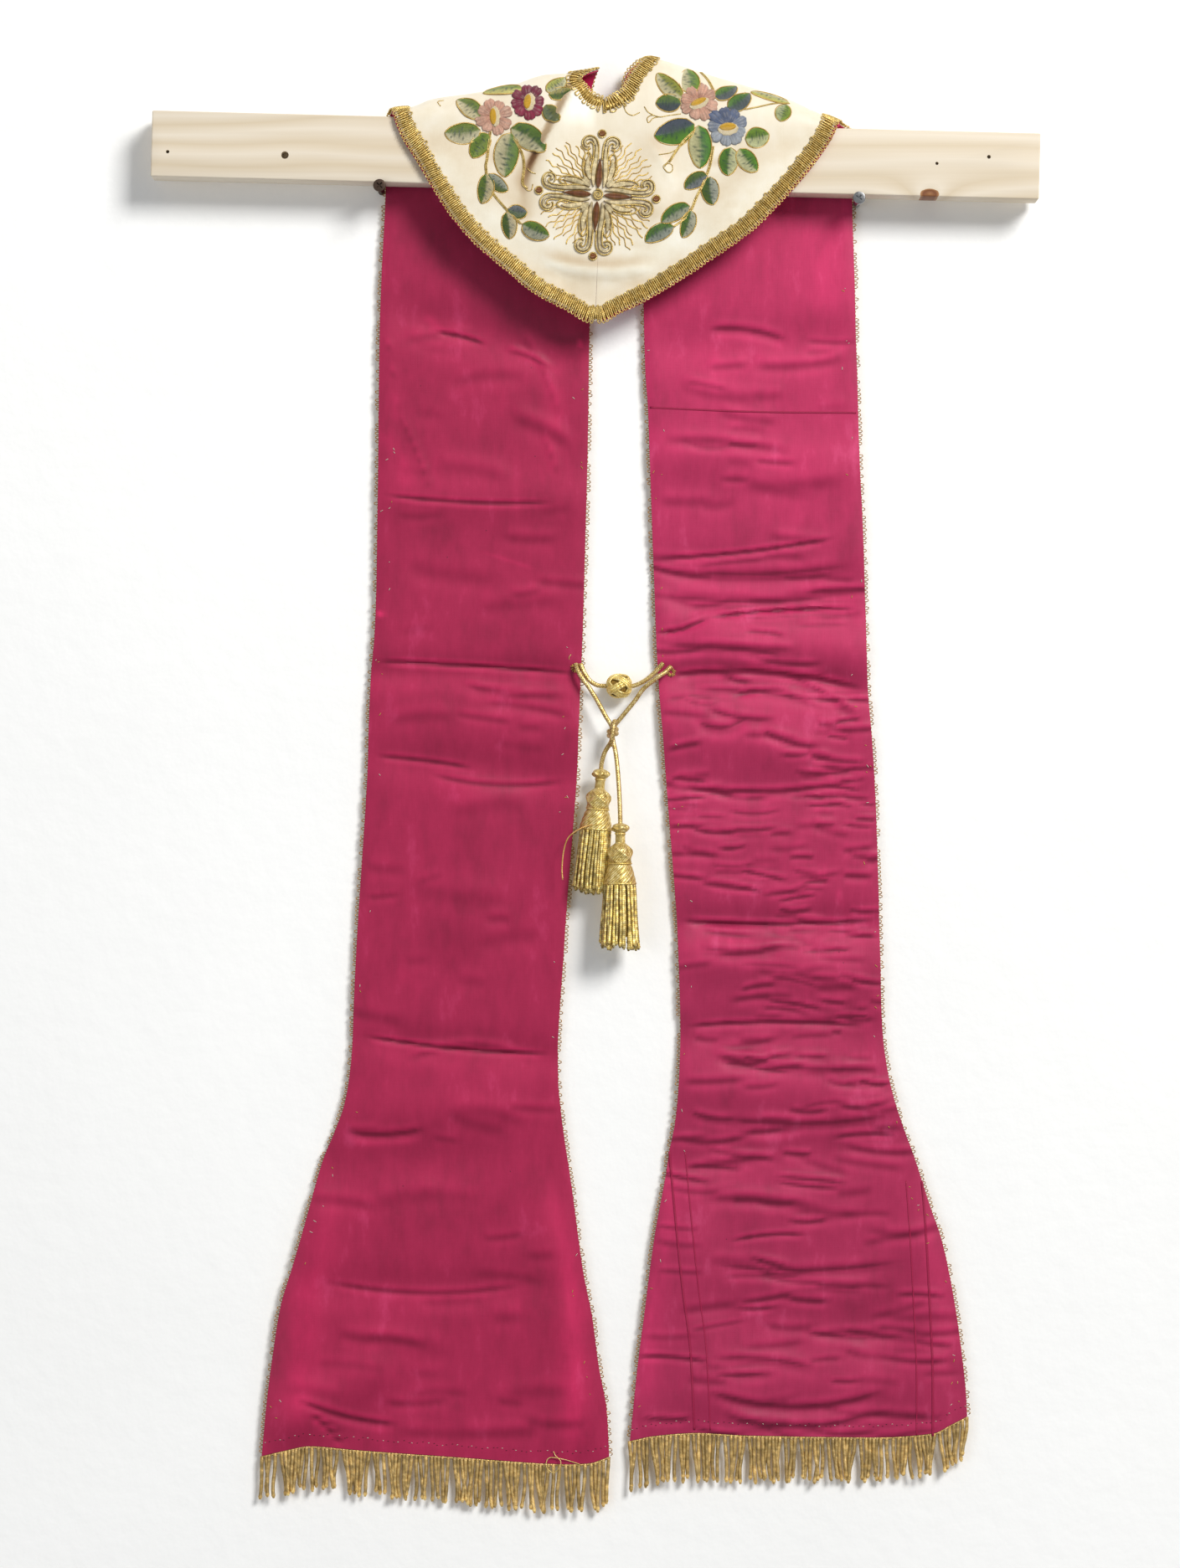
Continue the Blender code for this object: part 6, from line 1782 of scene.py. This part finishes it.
# spruce: straight pale grain along the length, which swings round a brown knot at the lower edge
here = object_place(PINE)
wander = noise_of(PINE, here, (3.0, 6.0, 22.0), 2.0)
grain = noise_of(PINE, here, (5.0, 260.0, 260.0))
rows = plus(PINE, times(PINE, apart(PINE, here)[2], 110.0), times(PINE, wander, 5.0))
(knot_x, knot_z), (knot_long, knot_high) = KNOT_IN_WOOD, KNOT_SIZE
knot = add(PINE, "ShaderNodeMapping", {"Vector": here, "Location": (-knot_x / knot_long, 0, -knot_z / knot_high),
                                       "Scale": (1 / (knot_long * MM), 0, 1 / (knot_high * MM))})
near_knot = add(PINE, "ShaderNodeVectorMath", {0: knot.outputs[0]}, operation="LENGTH").outputs["Value"]
round_knot = times(PINE, maths(PINE, "POWER", 2.0, times(PINE, near_knot, -1.0)), 4.0)
rows = maths(PINE, "PINGPONG", plus(PINE, rows, round_knot), 1.0)
base = ramp(PINE, rows, ((0.0, "d8c8ae"), (0.55, "e2d5c0"), (0.9, "e8ddcb")))
base = blend(PINE, times(PINE, grain, 0.4), base, ink("cbb898"))
uneven = plus(PINE, near_knot, times(PINE, grain, 0.35))
brown = ramp(PINE, uneven, ((0.25, "b08058"), (0.75, "8a5430"), (1.05, "c89c70"), (1.5, "ffffff")))
wire(PINE, pine, {"Base Color": blend(PINE, 1.0, base, brown, "MULTIPLY"), "Roughness": 0.62})
relief(PINE, pine, plus(PINE, rows, grain), 0.18)

# the screws: one browned nearly to black, one still pale and bright, both dulled by grime
for mat, shader, code, rough in ((BRONZED, bronzed, "5c4a40", 0.42), (ZINC, zinc, "b4b6b8", 0.28)):
    grime = noise_of(mat, object_place(mat), 700.0)
    colour = blend(mat, times(mat, grime, 0.6), ink(code), ink("3a322c"))
    wire(mat, shader, {"Base Color": colour, "Metallic": 0.95, "Roughness": rough})
    relief(mat, shader, grime, 0.08)

# ---- the wall, which is no part of the object ----------------------------------------------------

# near white and matt, so the piece's soft shadows show on it; from behind it can be seen through
WALL, wall_paint = finish("white painted plaster")
here = object_place(WALL)
paint = ramp(WALL, noise_of(WALL, here, 3.0, 5.0), ((0.3, "f8f8f7"), (0.7, "fdfdfc")))
wire(WALL, wall_paint, {"Base Color": paint, "Roughness": 0.85})
relief(WALL, wall_paint, noise_of(WALL, here, 60.0), 0.6)
clear = add(WALL, "ShaderNodeBsdfTransparent")
behind = add(WALL, "ShaderNodeNewGeometry").outputs["Backfacing"]
both = add(WALL, "ShaderNodeMixShader", {0: behind, 1: wall_paint.outputs[0], 2: clear.outputs[0]})
wire(WALL, WALL.node_tree.nodes["Material Output"], {"Surface": both.outputs[0]})
WALL_SIZE = 9         # in metres
nothing_selected()
bpy.ops.mesh.primitive_plane_add(size=WALL_SIZE, location=(0, 0, 0), rotation=(math.pi / 2, 0, 0))
wall = bpy.context.object
wall.name = "wall"
bpy.ops.object.transform_apply(location=True, rotation=True, scale=True)
wall.data.materials.append(WALL)
wall.visible_shadow = False      # the back lamp shines through it
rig.stage(wall)

DAYLIGHT, DAY_STRENGTH = (0.96, 0.98, 1.0, 1.0), 0.31
world = bpy.data.worlds.new("daylight")
bpy.context.scene.world = world
world.use_nodes = True
background = world.node_tree.nodes["Background"].inputs
background["Color"].default_value, background["Strength"].default_value = DAYLIGHT, DAY_STRENGTH

boxes = {"cad": [list(v) for v in cad_box], "visual": [list(v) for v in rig.bounds()]}
with open("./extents.json", "w") as size_file:
    json.dump(boxes, size_file)
